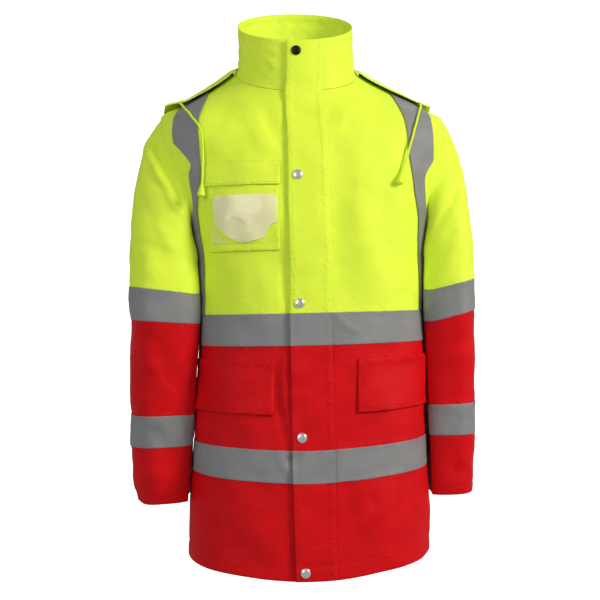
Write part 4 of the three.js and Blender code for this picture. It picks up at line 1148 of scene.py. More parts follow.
def sleeve_piece(name, levels, hand, lift, thickness, slot, head=0, held="hung", on=("collar",)):
    """A tube of a sleeve, from its lift above the sleeve's surface, rounded off at its open edges."""
    rings, normal, relief, turn, down = sleeve_form(levels, hand, head)
    near = np.minimum(np.abs(down[:, 0] - down[-1, 0]), 1e3)
    if not head:
        near = np.minimum(near, np.abs(down[:, 0] - down[0, 0]))
    shape = rounding(near, np.full(SLEEVE_COLUMNS, 1e3), True, False)
    outer = rings + normal * (lift + relief + thickness * shape)[..., None]
    inner = rings + normal * (lift + relief)[..., None]
    wide = sleeve["deep"](-450) * turn[None, :]
    uv = np.stack(np.broadcast_arrays(wide, -down), axis=-1)
    places = [SLEEVE_START - e for top in SLEEVE_TAPES[hand] for e in (top, top - TAPE_WIDTH)]
    mask = np.zeros(rings.shape[:2])
    for place in places + [SLEEVE_START - CUFF - CUFF_STITCH]:
        mask = np.maximum(mask, np.exp(-((down - place) / 7) ** 2))
    if head:
        mask = np.maximum(mask, ease((down + 200) / -12 + 1))
    return cloth(f"cloth_{name}", outer, inner, rings, finishes[slot], slot, uv, mask, ring=True, held=held,
                 on=on)


def build_sleeves():
    """Both sleeves, each in a yellow and a red tube with two tapes round it."""
    for hand in ("right", "left"):
        upper = np.concatenate([
            np.linspace(SLEEVE_START, SLEEVE_COLOUR_SEAM + SEAM / 2 + EDGE, 19),
            SLEEVE_COLOUR_SEAM + SEAM / 2 + np.array([0.9, 0.35, 0]),
        ])
        sleeve_piece(f"sleeve_{hand}_upper", upper, hand, -SHELL, SHELL, "yellow", head=52)
        lower = lines(SLEEVE_COLOUR_SEAM - SEAM / 2, CUFF, ROW_STEP)
        sleeve_piece(f"sleeve_{hand}_lower", lower, hand, -SHELL, SHELL, "red")
        for number, top in enumerate(SLEEVE_TAPES[hand]):
            rows = lines(top, top - TAPE_WIDTH, ROW_STEP)
            sleeve_piece(f"sleeve_{hand}_tape_{number + 1}", rows, hand, LIFT, TAPE_WALL, "tape", held="laid",
                         on=(f"sleeve_{hand}_lower",))


# Tapes on the body

def build_tapes():
    """The chest tape and the low tape, each in a right, a left and a back piece, with the panels' own columns."""
    for name, top, panel_name in (("chest_tape", CHEST_TAPE_TOP, "upper"), ("low_tape", LOW_TAPE_TOP, "lower")):
        levels = lines(top - TAPE_WIDTH, top, 3.4)
        places = {
            "right": (front_distance(levels, -1), "front_right"),
            "left": (front_distance(levels, 1), "front_left"),
            "back": (back_distance(levels)[0], "back"),
        }
        for part, (distance, panel_of) in places.items():
            mask = seam_mask(distance, levels[:, None], (top, top - TAPE_WIDTH), 6)
            on_body(f"cloth_{name}_{part}", levels, distance, LIFT, TAPE_WALL, finishes["tape"], "tape",
                    seam=mask, held="laid", on=[f"{panel_of}_{panel_name}"])


def level_across(x):
    """Level of the shoulder at which the body is x wide to one side."""
    levels = np.linspace(12, ARMHOLE_TIP, 900)
    across = np.maximum.accumulate(body["across"](levels))
    return np.interp(x, across, levels)


def over_shoulder(x, y):
    """Angle and level of the body's surface above a place across and a depth, by halving between two levels."""
    low, high = np.full(np.shape(x), -170.0), np.full(np.shape(x), 10.0)
    for _ in range(40):
        middle = (low + high) / 2
        depth = np.where(y < 0, body["front"](middle), body["back"](middle))
        power = body["power"](middle)
        outside = (np.abs(x) / body["across"](middle)) ** power + (np.abs(y) / depth) ** power > 1
        high = np.where(outside, middle, high)
        low = np.where(outside, low, middle)
    return np.arctan2(x, -y), (low + high) / 2


def harness_half(behind, levels, share, overs, hand):
    """Angles and levels of one half of a harness tape: rows up the panel, then rows straight back over the
    shoulder, at the shares across it."""
    depth = body["back"](levels) if behind else body["front"](levels)
    power, inner = body["power"](levels), harness[f"inner_{hand}"](levels)
    y = depth * (1 - (inner / body["across"](levels)) ** power) ** (1 / power)
    total = half_girth(levels)
    start = distances_at(np.arctan2(inner, y if not behind else -y), levels)
    seam_level = np.where(np.abs(levels - UNDERARM) < HARNESS_TUCK["reach"], UNDERARM + HARNESS_TUCK["rise"],
                          levels)
    edge = edge_distance(seam_level, behind, hand)
    if behind:
        start, edge = total - start, total - edge
    end = np.maximum(np.minimum(start + TAPE_WIDTH, edge - harness[f"margin_{hand}"](levels)), start + 2)
    distance = start[:, None] + (end - start)[:, None] * share[None, :]
    if behind:
        distance = total[:, None] - distance
    angle = angles_at(distance, levels)
    last = body_surface(angle[-1], levels[-1])
    last_x = last[:, 0] - body["shift"](levels[-1])
    x = HARNESS_ACROSS + share[None, :] * TAPE_WIDTH
    x = x + (last_x[None, :] - x) * overs[:, None] ** 2
    over_angle, over_level = over_shoulder(x, last[None, :, 1] * overs[:, None])
    level = np.broadcast_to(levels[:, None], angle.shape)
    return np.concatenate([angle, over_angle]), np.concatenate([level, over_level])


def harness_places(hand):
    """Angles and levels of the whole harness tape, up the front, over the shoulder and down the back."""
    share = lines(0, TAPE_WIDTH, 5) / TAPE_WIDTH
    levels = np.concatenate([lines(CHEST_TAPE_TOP + SEAM, HARNESS_LAST, 5)[:-3], [HARNESS_LAST]])
    overs = np.linspace(1, 0, 26)[1:-1]
    front_a, front_l = harness_half(False, levels, share, overs, hand)
    back_a, back_l = harness_half(True, levels, share, overs, hand)
    crest_a, crest_l = over_shoulder(HARNESS_ACROSS + share * TAPE_WIDTH, np.full(share.shape, -0.01))
    angle = np.concatenate([front_a, crest_a[None], back_a[::-1]])
    level = np.concatenate([front_l, crest_l[None], back_l[::-1]])
    return angle, level, share


def build_harness():
    """A harness tape over each shoulder, with small cross creases where it bends over the shoulder."""
    for side, hand in ((-1, "right"), (1, "left")):
        angle, level, share = harness_places(hand)
        signed = side * np.abs(angle)
        base = body_surface(signed, level)
        normal = body_normal(signed, level)
        distance = nearest_distance(signed, level)
        relief = body_relief_at(distance, level, signed)
        step = np.concatenate([[0], np.cumsum(np.linalg.norm(np.diff(base[:, 3], axis=0), axis=1))])
        across = np.broadcast_to(share * TAPE_WIDTH, level.shape)
        creases = 0.35 * ripple(across * 0.25, step[:, None] + 900 * side, 26, 8)
        shape = rounding(from_edges(step), from_edges(share * TAPE_WIDTH))
        height = HARNESS_LIFT + relief + creases * ease(from_edges(share * TAPE_WIDTH) / 9)
        outer = base + normal * (height + TAPE_WALL * shape)[..., None]
        inner = base + normal * height[..., None]
        uv = np.stack(np.broadcast_arrays(across + 400 * side, step[:, None]), axis=-1)
        mask = np.broadcast_to(np.exp(-(from_edges(share * TAPE_WIDTH) / 5) ** 2), level.shape)
        cloth(f"cloth_harness_tape_{hand}", outer, inner, base, finishes["tape"], "tape", uv, mask,
              held="laid", on=[f"front_{hand}_upper", "back_upper"])


def nearest_distance(angle, level):
    """Signed distance from the centre front of each point of a grid, from a table over all levels."""
    rows = np.linspace(-830, 84, 460)
    angles, table = arc_table(rows)
    i = np.clip((level - rows[0]) / (rows[1] - rows[0]), 0, len(rows) - 1.001)
    j = np.clip(np.abs(angle) / np.pi * (len(angles) - 1), 0, len(angles) - 1.001)
    i0, j0 = i.astype(int), j.astype(int)
    fi, fj = i - i0, j - j0
    low = table[i0, j0] * (1 - fj) + table[i0, j0 + 1] * fj
    high = table[i0 + 1, j0] * (1 - fj) + table[i0 + 1, j0 + 1] * fj
    return np.sign(angle) * (low * (1 - fi) + high * fi)


def body_relief_at(distance, level, angle):
    """The relief of the body's cloth under a piece whose rows don't follow the levels: folds and ripples only."""
    plain = body_surface(angle, level)
    x, z = plain[..., 0], plain[..., 2]
    front = ease(0.5 + 1.6 * np.cos(angle))
    folds = front * fold_field(x, z, FRONT_FOLDS) + (1 - front) * fold_field(x, z, BACK_FOLDS)
    soft = 0.8 * ripple(distance, level, 120, 3) + 0.32 * ripple(distance, level, 42, 4)
    return scene_sizes().fold_strength * ease((-12 - level) / 50) * (folds + soft)


# Collar, storm flap, snaps

def build_collar():
    """The stand collar: a strip from the centre front round the neck and back to it, soft above its seam."""
    levels = np.concatenate([lines(SEAM / 2, COLLAR_TOP, 2.6)])
    girth = half_girth(levels)
    share = lines(0, 560, 3.2) / 560
    from_front = SEAM / 2 + share[None, :] * (2 * girth[:, None] - SEAM)
    distance = np.where(from_front <= girth[:, None], from_front, from_front - 2 * girth[:, None])
    angle = angles_at(distance, levels)
    level = levels[:, None]
    base, normal = body_surface(angle, level), body_normal(angle, level)
    bend = ease(level / 16) * ease((COLLAR_TOP - level) / 20)
    around = from_front
    relief = bend * (0.9 * ripple(around, level * 0.5, 46, 11) + 0.5 * ripple(around, level, 22, 12))
    relief = relief + groove(level - 6, 2.5, 0.8) + groove(level - (COLLAR_TOP - 6), 2.2, 0.7)
    relief = relief + 0.35 * ease((level - 66) / 12) * ripple(around, level, 9, 13)
    shape = rounding(from_edges(levels), from_edges(share * 560))
    outer = base + normal * (relief * 0.9 + (COLLAR_WALL * (shape - 1)) / 2)[..., None]
    inner = base + normal * (relief * 0.9 - COLLAR_WALL * (1 + shape) / 2)[..., None]
    uv = np.stack(np.broadcast_arrays(around, level), axis=-1)
    mask = seam_mask(distance, np.broadcast_to(level, distance.shape), (6, COLLAR_TOP - 6), 6)
    cloth("cloth_collar", outer, inner, base, finishes["yellow"], "yellow", uv, mask,
          on=["front_right_upper", "front_left_upper", "back_upper"])


def flap_span(levels):
    """Distances of the storm flap's free and sewn edges at each level."""
    return flap["free"](levels), flap["sewn"](levels)


def flap_height(level, share):
    """Height of the storm flap's underside: highest at its free edge, which waves a little."""
    plain = FLAP_LIFT["free"] + (FLAP_LIFT["sewn"] - FLAP_LIFT["free"]) * share
    wave = 0.9 * ripple(level * 0.2, level, 90, 21) + 0.5 * ripple(level * 0.1, level, 34, 22)
    seams = groove(share * 62 - 7, 2.6, 0.5) + groove((1 - share) * 62 - 3, 2.4, 0.6)
    seams = seams + groove((1 - share) * 62 - 11, 2.4, 0.5)
    return plain + (1 - share) ** 1.5 * ease((60 - level) / 60) * (wave + 0.6) + seams


def flap_grid(levels):
    """Distances and shares of the storm flap's columns at each level."""
    free, sewn = flap_span(levels)
    share = lines(0, 62, 2.6) / 62
    return free[:, None] + share[None, :] * (sewn - free)[:, None], share


def build_flap():
    """The storm flap in a yellow and a red part, and the tapes across it."""
    top = np.concatenate([
        lines(COLOUR_SEAM + SEAM / 2, -100, 3.6)[:-3],
        np.arange(-96, 68, 2.4),
        COLLAR_TOP - 1 - np.array([8, 5.5, 3.2, EDGE, 0.9, 0.35, 0]),
    ])
    low = lines(HEM + 1, COLOUR_SEAM - SEAM / 2, 3.6)
    for name, levels, slot in (("storm_flap_upper", top, "yellow"), ("storm_flap_lower", low, "red")):
        distance, share = flap_grid(levels)
        level = levels[:, None]
        height = flap_height(level, share[None, :])
        mask = np.broadcast_to(np.exp(-((share * 62 - 6) / 5) ** 2) + np.exp(-(((1 - share) * 62 - 7) / 6) ** 2),
                               distance.shape)
        on_body(f"cloth_{name}", levels, distance, 0, FLAP_WALL, finishes[slot], slot, extra=height, seam=mask,
                on=["front_left_upper", "front_left_lower"])
    for name, end in (("chest_tape_flap", CHEST_TAPE_END), ("low_tape_flap", LOW_TAPE_END)):
        levels = lines(end, end + TAPE_WIDTH, 3.4)
        distance, share = flap_grid(levels)
        level = levels[:, None]
        height = flap_height(level, share[None, :]) + FLAP_WALL + SEAM
        mask = seam_mask(distance, level, (end, end + TAPE_WIDTH), 6)
        on_body(f"cloth_{name}", levels, distance, 0, TAPE_WALL, finishes["tape"], "tape", extra=height,
                seam=mask, held="laid", on=["storm_flap_upper", "storm_flap_lower"])


def turned(profile, sides, foot, axis):
    """Points and faces of a profile of (radius, height) pairs turned round an axis from its foot."""
    profile = np.array(profile, float)
    first = unit(np.cross(axis, (0.31, 0.2, 0.93)))
    second = np.cross(axis, first)
    turn = np.linspace(0, 2 * np.pi, sides, endpoint=False)
    ring = first[None] * np.cos(turn)[:, None] + second[None] * np.sin(turn)[:, None]
    points = foot + profile[:, None, :1] * ring[None] + profile[:, None, 1:] * axis
    ends = np.stack([foot + profile[0, 1] * axis, foot + profile[-1, 1] * axis])
    quads, caps = tube_faces(len(profile), sides)
    faces = np.concatenate([quads[:, :3], quads[:, [0, 2, 3]], caps])
    return np.concatenate([points.reshape(-1, 3), ends]), faces


def build_snaps():
    """Each snap cap: a pressed dome in a rolled rim, with a shallow ring between them."""
    t = np.linspace(0, 1, 16)
    rim = [(7.2, 0), (7.6, 0.35), (7.62, 0.8), (7.35, 1.2), (6.9, 1.35), (6.5, 1.22), (6.25, 1.2)]
    dome = [(6.1 * math.cos(a), 1.2 + 1.4 * math.sin(a)) for a in t[1:] * math.pi / 2]
    profile = rim + dome[:-1] + [(0.25, 2.6)]
    for name, level in SNAPS:
        levels = np.array([float(level)])
        free, sewn = flap_span(levels)
        share = SNAP_INSET / (sewn - free)
        distance = free + SNAP_INSET
        angle = angles_at(distance[:, None], levels)
        relief = body_relief(distance[:, None], levels[:, None], angle)[0, 0]
        seat = flap_height(levels, share)[0] + FLAP_WALL + relief + SEAM
        axis = body_normal(angle, levels[:, None])[0, 0]
        foot = body_surface(angle, levels[:, None])[0, 0] + axis * seat
        points, faces = turned(profile, 40, foot, axis)
        finish = "dark" if name == "snap_collar" else "steel"
        made = make_mesh(f"cap_{name}", points, faces, finishes[finish])
        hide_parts(name)


# Pockets

def badge_span(level):
    """Share of the way down the badge pocket, and the distances of its far and near edges there."""
    down = np.clip((BADGE["top"] - level) / (BADGE["top"] - BADGE["end"]), 0, 1)
    return down, -BADGE["far"] - BADGE_LEAN["far"] * down, -BADGE["near"] - BADGE_LEAN["near"] * down


def badge_height(level, distance):
    """Height of the badge pocket's outside: it stands proud in the middle, most in its lower half."""
    down, far, near = badge_span(level)
    share = np.clip((distance - far) / (near - far), 0, 1)
    swell = BADGE["bulge"] * np.sin(np.pi * share) * np.sin(np.pi * down ** 1.4)
    loose = 1.6 * ease((down - 0.75) / 0.25) * ease(1 - np.abs(share - 0.3) / 0.5)
    return BADGE["lift"] + FLAP_WALL + swell + loose


def span_distance(levels, piece, step=2.8):
    """Columns of a piece on the right chest between its near and far distances, which lean with the pocket."""
    share = lines(0, piece["far"] - piece["near"], step)[None, :] / (piece["far"] - piece["near"])
    down = badge_span(np.asarray(levels, float)[:, None])[0]
    far = -piece["far"] - BADGE_LEAN["far"] * down
    near = -piece["near"] - BADGE_LEAN["near"] * down
    return far + (near - far) * share


def build_badge():
    """The badge pocket, its clear window and its flap."""
    levels = lines(BADGE["end"], BADGE["top"], 2.8)
    distance = span_distance(levels, BADGE)
    level = levels[:, None]
    angle = angles_at(distance, levels)
    base, normal = body_surface(angle, level), body_normal(angle, level)
    relief = body_relief(distance, level, angle)
    height = badge_height(level, distance)
    edge = np.minimum(from_edges(levels)[:, None], from_edges(distance[0])[None, :])
    height = height + groove(edge - 4, 2, 0.4) + 0.3 * ripple(distance, level, 30, 31) * ease(edge / 14)
    height = height + groove(level - (BADGE["end"] + 12), 2.4, 0.6)
    shape = rounding(from_edges(levels), from_edges(distance[0]))
    outer = base + normal * (relief + height - FLAP_WALL * (1 - shape))[..., None]
    inner = base + normal * (relief + BADGE["lift"] - 0.2)[..., None]
    uv = np.stack(np.broadcast_arrays(distance, level), axis=-1)
    mask = np.exp(-((edge - 4) / 5) ** 2)
    cloth("cloth_badge_pocket", outer, inner, base, finishes["yellow"], "yellow", uv, mask,
          on=["front_right_upper"])
    levels = lines(BADGE_WINDOW["end"], BADGE_WINDOW["top"], 2.8)
    distance = span_distance(levels, BADGE_WINDOW)
    height = badge_height(levels[:, None], distance) + SEAM * 2
    height = height + 0.5 * ripple(distance, levels[:, None], 40, 32)
    # the window's film, with its painted glare
    on_body("cloth_badge_window", levels, distance, 0, BADGE_WINDOW["wall"], finishes["clear"], "clear",
            extra=height + 0.5, held="laid", on=["badge_pocket"])
    levels = lines(BADGE_FLAP["end"], BADGE_FLAP["top"], 2.8)
    distance = span_distance(levels, BADGE_FLAP)
    level = levels[:, None]
    down = ease((BADGE_FLAP["top"] - level) / (BADGE_FLAP["top"] - BADGE_FLAP["end"]))
    edge = np.minimum((level - BADGE_FLAP["end"]), from_edges(distance[0])[None, :])
    height = badge_height(level, distance) + SEAM * 2 + 1.4 * down + groove(edge - 4, 2, 0.5)
    height = height + 0.4 * ripple(distance, level, 44, 33) + groove(level - (BADGE_FLAP["top"] - 4), 2.5, 0.9)
    mask = np.maximum(np.exp(-((edge - 4) / 5) ** 2), np.exp(-((level - BADGE_FLAP["top"]) / 6) ** 2))
    on_body("cloth_badge_flap", levels, distance, 0, FLAP_WALL, finishes["yellow"], "yellow", extra=height,
            seam=mask, on=["front_right_upper"])


def build_pocket_flaps():
    """The two lower pocket flaps, puckered along their seam and standing a little off the cloth at the bottom."""
    for side, hand in ((-1, "right"), (1, "left")):
        levels = lines(POCKET_FLAP["end"], POCKET_FLAP["top"], 3)
        columns = lines(POCKET_FLAP["near"], POCKET_FLAP["far"], 3)
        distance = np.broadcast_to(side * columns, (len(levels), len(columns)))
        level = levels[:, None]
        down = ease((POCKET_FLAP["top"] - level) / (POCKET_FLAP["top"] - POCKET_FLAP["end"]))
        edge = np.minimum(level - POCKET_FLAP["end"], from_edges(columns)[None, :])
        height = 1.9 * down + groove(edge - 8, 2.4, 0.7)
        height = height + (0.3 + 0.5 * down) * (0.5 + ripple(distance, level, 52, 41)) * 0.8
        top = POCKET_FLAP["top"] - level
        height = height + 0.7 * np.exp(-((top - 6) / 6) ** 2) * (1 + 0.5 * ripple(distance, level, 16, 42))
        mask = np.maximum(np.exp(-((edge - 8) / 6) ** 2), np.exp(-(top / 8) ** 2))
        on_body(f"cloth_pocket_flap_{hand}", levels, distance, LIFT, FLAP_WALL, finishes["red"], "red",
                extra=height, seam=mask, on=[f"front_{hand}_lower"])


# Hood

def hood_form(share, down):
    """The hood at a share across (-1 right end, 1 left end) and a share down its cloth: it lies on the back from
    its neck edge to the fold, then comes up again further out to its face edge. The square root of the drop
    below the shoulder's crest is nearly the distance back over the shoulder."""
    at = np.abs(share)
    side = np.where(share < 0, -1, 1)
    to_fold = np.clip(down / HOOD_FOLD_SHARE, 0, 1)
    to_face = np.clip((down - HOOD_FOLD_SHARE) / (1 - HOOD_FOLD_SHARE), 0, 1)
    end = np.where(side < 0, ease((at - HOOD_END["start"]) / (1 - HOOD_END["start"])), 0)
    neck, fold, face = hood["neck"](at), hood["fold"](at), hood["face"](at)
    lying = down < HOOD_FOLD_SHARE
    x = HOOD_END["reach"] * end + np.where(lying, neck + (fold - neck) * to_fold, fold + (face - fold) * to_face)
    crest = np.minimum(level_across(np.maximum(x, 99)), 2)
    on_shoulder = ease((neck - 96) / 14)
    first = -HOOD_FORWARD * on_shoulder
    last = np.sqrt(np.maximum(0, crest - hood["fold_level"](at)))
    back = np.sqrt(np.maximum(0, crest - hood["face_level"](at)))
    root = np.where(lying, first + (last - first) * np.sin(to_fold * np.pi / 2),
                    last + (back - last) * (1 - np.cos(to_face * np.pi / 2)))
    level = crest - root * root
    power, across = body["power"](level), body["across"](level)
    room = np.maximum(0, 1 - (np.minimum(x, across) / across) ** power)
    y = np.where(root < 0, -body["front"](level), body["back"](level)) * room ** (1 / power)
    sewn = ease((0.52 - at) / 0.06) * (1 - ease(down / 0.1))
    opened = hood["stand"](at) * ease((down - 0.42) / 0.36)
    stand = HOOD_CLEAR + (HOOD_SEAT - HOOD_CLEAR) * sewn + opened + HOOD_END["stand"] * end
    angle = side * np.arctan2(x, -y)
    return body_surface(angle, level) + body_normal(angle, level) * stand[..., None]


def build_hood():
    """The hood: one piece of cloth with a stitched channel along its face edge and loose folds in its pouch."""
    share = np.concatenate([[-1, -0.998, -0.994], np.linspace(-0.988, 0.988, 171), [0.994, 0.998, 1]])
    down = np.concatenate([[0, 0.002, 0.005], np.linspace(0.012, 0.985, 74), [0.992, 0.996, 1]])
    across, along = np.meshgrid(share, down)
    grid = hood_form(across, along)
    normal = grid_normals(grid, 1)
    steps = np.linalg.norm(np.diff(grid, axis=0), axis=-1)
    reach = np.concatenate([np.zeros((1, len(share))), np.cumsum(steps, axis=0)])
    from_face = reach[-1][None, :] - reach
    wide = across * 300
    loose = ease((along - 0.3) / 0.2) * ease((1 - np.abs(across)) / 0.3)
    relief = scene_sizes().fold_strength * loose * (2.4 * ripple(wide, reach * 0.4, 80, 51)
                                                    + 1.0 * ripple(wide, reach, 34, 52))
    relief = relief + groove(from_face - 22, 3, 1.2) + 0.5 * np.exp(-((from_face - 11) / 7) ** 2)
    relief = relief + 0.25 * ripple(wide, reach, 14, 53) * ease((along - 0.02) / 0.05)
    near_row = np.minimum(reach, from_face)
    near_col = (1 - np.abs(share)) * 300
    shape = np.minimum(1, 0.35 + 0.65 * np.sqrt(np.clip(near_row / EDGE, 0, 1)))
    shape = shape * np.minimum(1, 0.35 + 0.65 * np.sqrt(np.clip(near_col / EDGE, 0, 1)))[None, :]
    outer = grid + normal * (relief + HOOD_WALL / 2 * shape)[..., None]
    inner = grid + normal * (relief - HOOD_WALL / 2 * shape)[..., None]
    uv = np.stack([wide, reach], axis=-1)
    mask = np.maximum(np.exp(-((from_face - 22) / 8) ** 2), np.exp(-(reach / 8) ** 2))
    cloth("cloth_hood", outer, inner, grid, finishes["yellow"], "yellow", uv, mask, on=["collar", "back_upper"])


# Stitching

def stitches(name, runs, slot):
    """Thread stitches along runs. Each run is a list of points on the cloth and the outward direction at each;
    a stitch is a spindle of three sides between two sharp ends, bedded in the cloth."""
    centres, ways, ups = [], [], []
    for points, normals in runs:
        at = np.concatenate([[0], np.cumsum(np.linalg.norm(np.diff(points, axis=0), axis=1))])
        count = int(at[-1] / (STITCH_LENGTH + STITCH_GAP))
        if count < 1:
            continue
        places = (np.arange(count) + 0.5) * at[-1] / count
        centres.append(np.stack([np.interp(places, at, points[:, k]) for k in range(3)], -1))
        ahead = np.stack([np.interp(places + 0.6, at, points[:, k]) for k in range(3)], -1)
        behind = np.stack([np.interp(places - 0.6, at, points[:, k]) for k in range(3)], -1)
        ways.append(unit(ahead - behind))
        ups.append(unit(np.stack([np.interp(places, at, normals[:, k]) for k in range(3)], -1)))
    centre, way, up = np.concatenate(centres), np.concatenate(ways), np.concatenate(ups)
    aside = unit(np.cross(way, up))
    half, thick = STITCH_LENGTH / 2, STITCH_THICKNESS / 2
    ring = [(math.cos(a), math.sin(a)) for a in (math.pi / 2, math.pi * 7 / 6, math.pi * 11 / 6)]
    shape = [(-half, 0, -0.5 * thick)]
    shape += [(-half * 0.45, thick * c, thick * s) for c, s in ring]
    shape += [(half * 0.45, thick * c, thick * s) for c, s in ring]
    shape += [(half, 0, -0.5 * thick)]
    shape = np.array(shape)
    points = (centre[:, None] + way[:, None] * shape[None, :, :1] + aside[:, None] * shape[None, :, 1:2]
              + up[:, None] * (shape[None, :, 2:] + 0.12))
    one = np.array([(0, 2, 1), (0, 3, 2), (0, 1, 3), (1, 2, 5), (1, 5, 4), (2, 3, 6), (2, 6, 5), (3, 1, 4),
                    (3, 4, 6), (7, 4, 5), (7, 5, 6), (7, 6, 4)])
    faces = (one[None] + 8 * np.arange(len(centre))[:, None, None]).reshape(-1, 3)
    made = make_mesh(name, points.reshape(-1, 3), faces, finishes[f"thread_{slot}"])
    return made


def body_run(distance, level, height):
    """Points of a line of stitching on the body's cloth at a height above it, and its outward directions."""
    distance, level = np.asarray(distance, float), np.asarray(level, float)
    levels_table = np.linspace(-830, 84, 460)
    angles, table = arc_table(levels_table)
    row = np.clip(np.searchsorted(levels_table, level), 0, len(levels_table) - 1)
    angle = np.array([np.sign(d) * np.interp(abs(d), table[r], angles) for d, r in zip(distance, row)])
    relief = body_relief(distance[:, None], level[:, None], angle[:, None])[:, 0]
    base, normal = body_surface(angle, level), body_normal(angle, level)
    return base + normal * (relief + height)[:, None], normal


def across_run(level, start, end, height=0.0):
    """A level line of stitching between two signed distances."""
    count = max(8, int(abs(end - start) / 3))
    return body_run(np.linspace(start, end, count), np.full(count, float(level)), height)


def up_run(distance, low, high, height=0.0):
    """An upright line of stitching at one distance between two levels."""
    count = max(8, int(abs(high - low) / 3))
    return body_run(np.full(count, float(distance)), np.linspace(low, high, count), height)


def girth_runs(level, height):
    """Level lines round the whole body: both fronts and the back in two halves."""
    girth = float(half_girth(np.array([float(level)]))[0])
    return [across_run(level, s * 2, s * (girth - 1), height) for s in (-1, 1)]


def flap_run(levels, inset, from_free):
    """A line along the storm flap at an inset from its free or its sewn edge, on its outside."""
    free, sewn = flap_span(levels)
    share = inset / 62 if from_free else 1 - inset / 62
    distance = free + share * (sewn - free)
    height = flap_height(levels, np.full(levels.shape, share)) + FLAP_WALL
    points, normals = body_run(distance, levels, 0)
    return points + normals * height[:, None], normals


def sleeve_run(level, hand, height):
    """A line round a sleeve at a level of its rings."""
    rings, normal, relief, turn, _ = sleeve_form(np.array([level + 0.6, level, level - 0.6]), hand)
    line = rings[1] + normal[1] * (relief[1] + height)[:, None]
    return np.concatenate([line, line[:1]]), np.concatenate([normal[1], normal[1][:1]])


def build_stitching():
    """All lines of stitching: hem, cuffs, tapes, storm flap, pockets and armholes."""
    yellow, red, grey = [], [], []
    red += girth_runs(HEM + HEM_STITCH, 0)
    for top in (CHEST_TAPE_TOP, LOW_TAPE_TOP):
        for level in (top - 2.5, top - TAPE_WIDTH + 2.5):
            grey += girth_runs(level, LIFT + TAPE_WALL)
    upper = np.arange(COLOUR_SEAM + 4, COLLAR_TOP - 4, 3.0)
    lower = np.arange(HEM + 3, COLOUR_SEAM - 4, 3.0)
    for inset, from_free in ((7, True), (3, False), (11, False)):
        yellow.append(flap_run(upper, inset, from_free))
        red.append(flap_run(lower, inset, from_free))
    for (behind, hand), (line_d, line_l) in ARMHOLE_LINES.items():
        keep = line_l < ARMHOLE_TIP - 6
        side = -1 if hand == "right" else 1
        shift = 9 if behind else -9
        yellow.append(body_run(side * (line_d[keep] + shift), line_l[keep], 0))
    for side in (-1, 1):
        near, far = side * (POCKET_FLAP["near"] + 8), side * (POCKET_FLAP["far"] - 8)
        low, high = POCKET_FLAP["end"] + 8, POCKET_FLAP["top"] - 4
        red.append(across_run(low, near, far, LIFT + FLAP_WALL + 1.8))
        red.append(across_run(POCKET_FLAP["top"] + 8, near - side * 8, far + side * 8, 0))
        red.append(up_run(near, low, high, LIFT + FLAP_WALL + 1.2))
        red.append(up_run(far, low, high, LIFT + FLAP_WALL + 1.2))
    yellow += badge_runs()
    for hand in ("right", "left"):
        red.append(sleeve_run(CUFF + CUFF_STITCH, hand, 0))
        for top in SLEEVE_TAPES[hand]:
            grey.append(sleeve_run(top - 2.5, hand, LIFT + TAPE_WALL))
            grey.append(sleeve_run(top - TAPE_WIDTH + 2.5, hand, LIFT + TAPE_WALL))
    stitches("thread_yellow", yellow, "yellow")
    stitches("thread_red", red, "red")
    stitches("thread_grey", grey, "grey")


def badge_runs():
    """The lines on the badge pocket and its flap."""
    runs = []
    for level, piece, inset in ((BADGE["end"] + 12, BADGE, 3), (BADGE_FLAP["end"] + 4, BADGE_FLAP, 4)):
        ends = span_distance(np.array([float(level)]), piece)[0]
        distance = np.linspace(ends[0] + inset, ends[-1] - inset, 40)
        points, normals = body_run(distance, np.full(40, float(level)), 0)
        height = badge_height(np.full(40, float(level)), distance)
        if piece is BADGE_FLAP:
            down = ease((BADGE_FLAP["top"] - level) / (BADGE_FLAP["top"] - BADGE_FLAP["end"]))
            height = height + SEAM * 2 + 1.4 * down + FLAP_WALL
        runs.append((points + normals * height[:, None], normals))
    return runs


# Stage

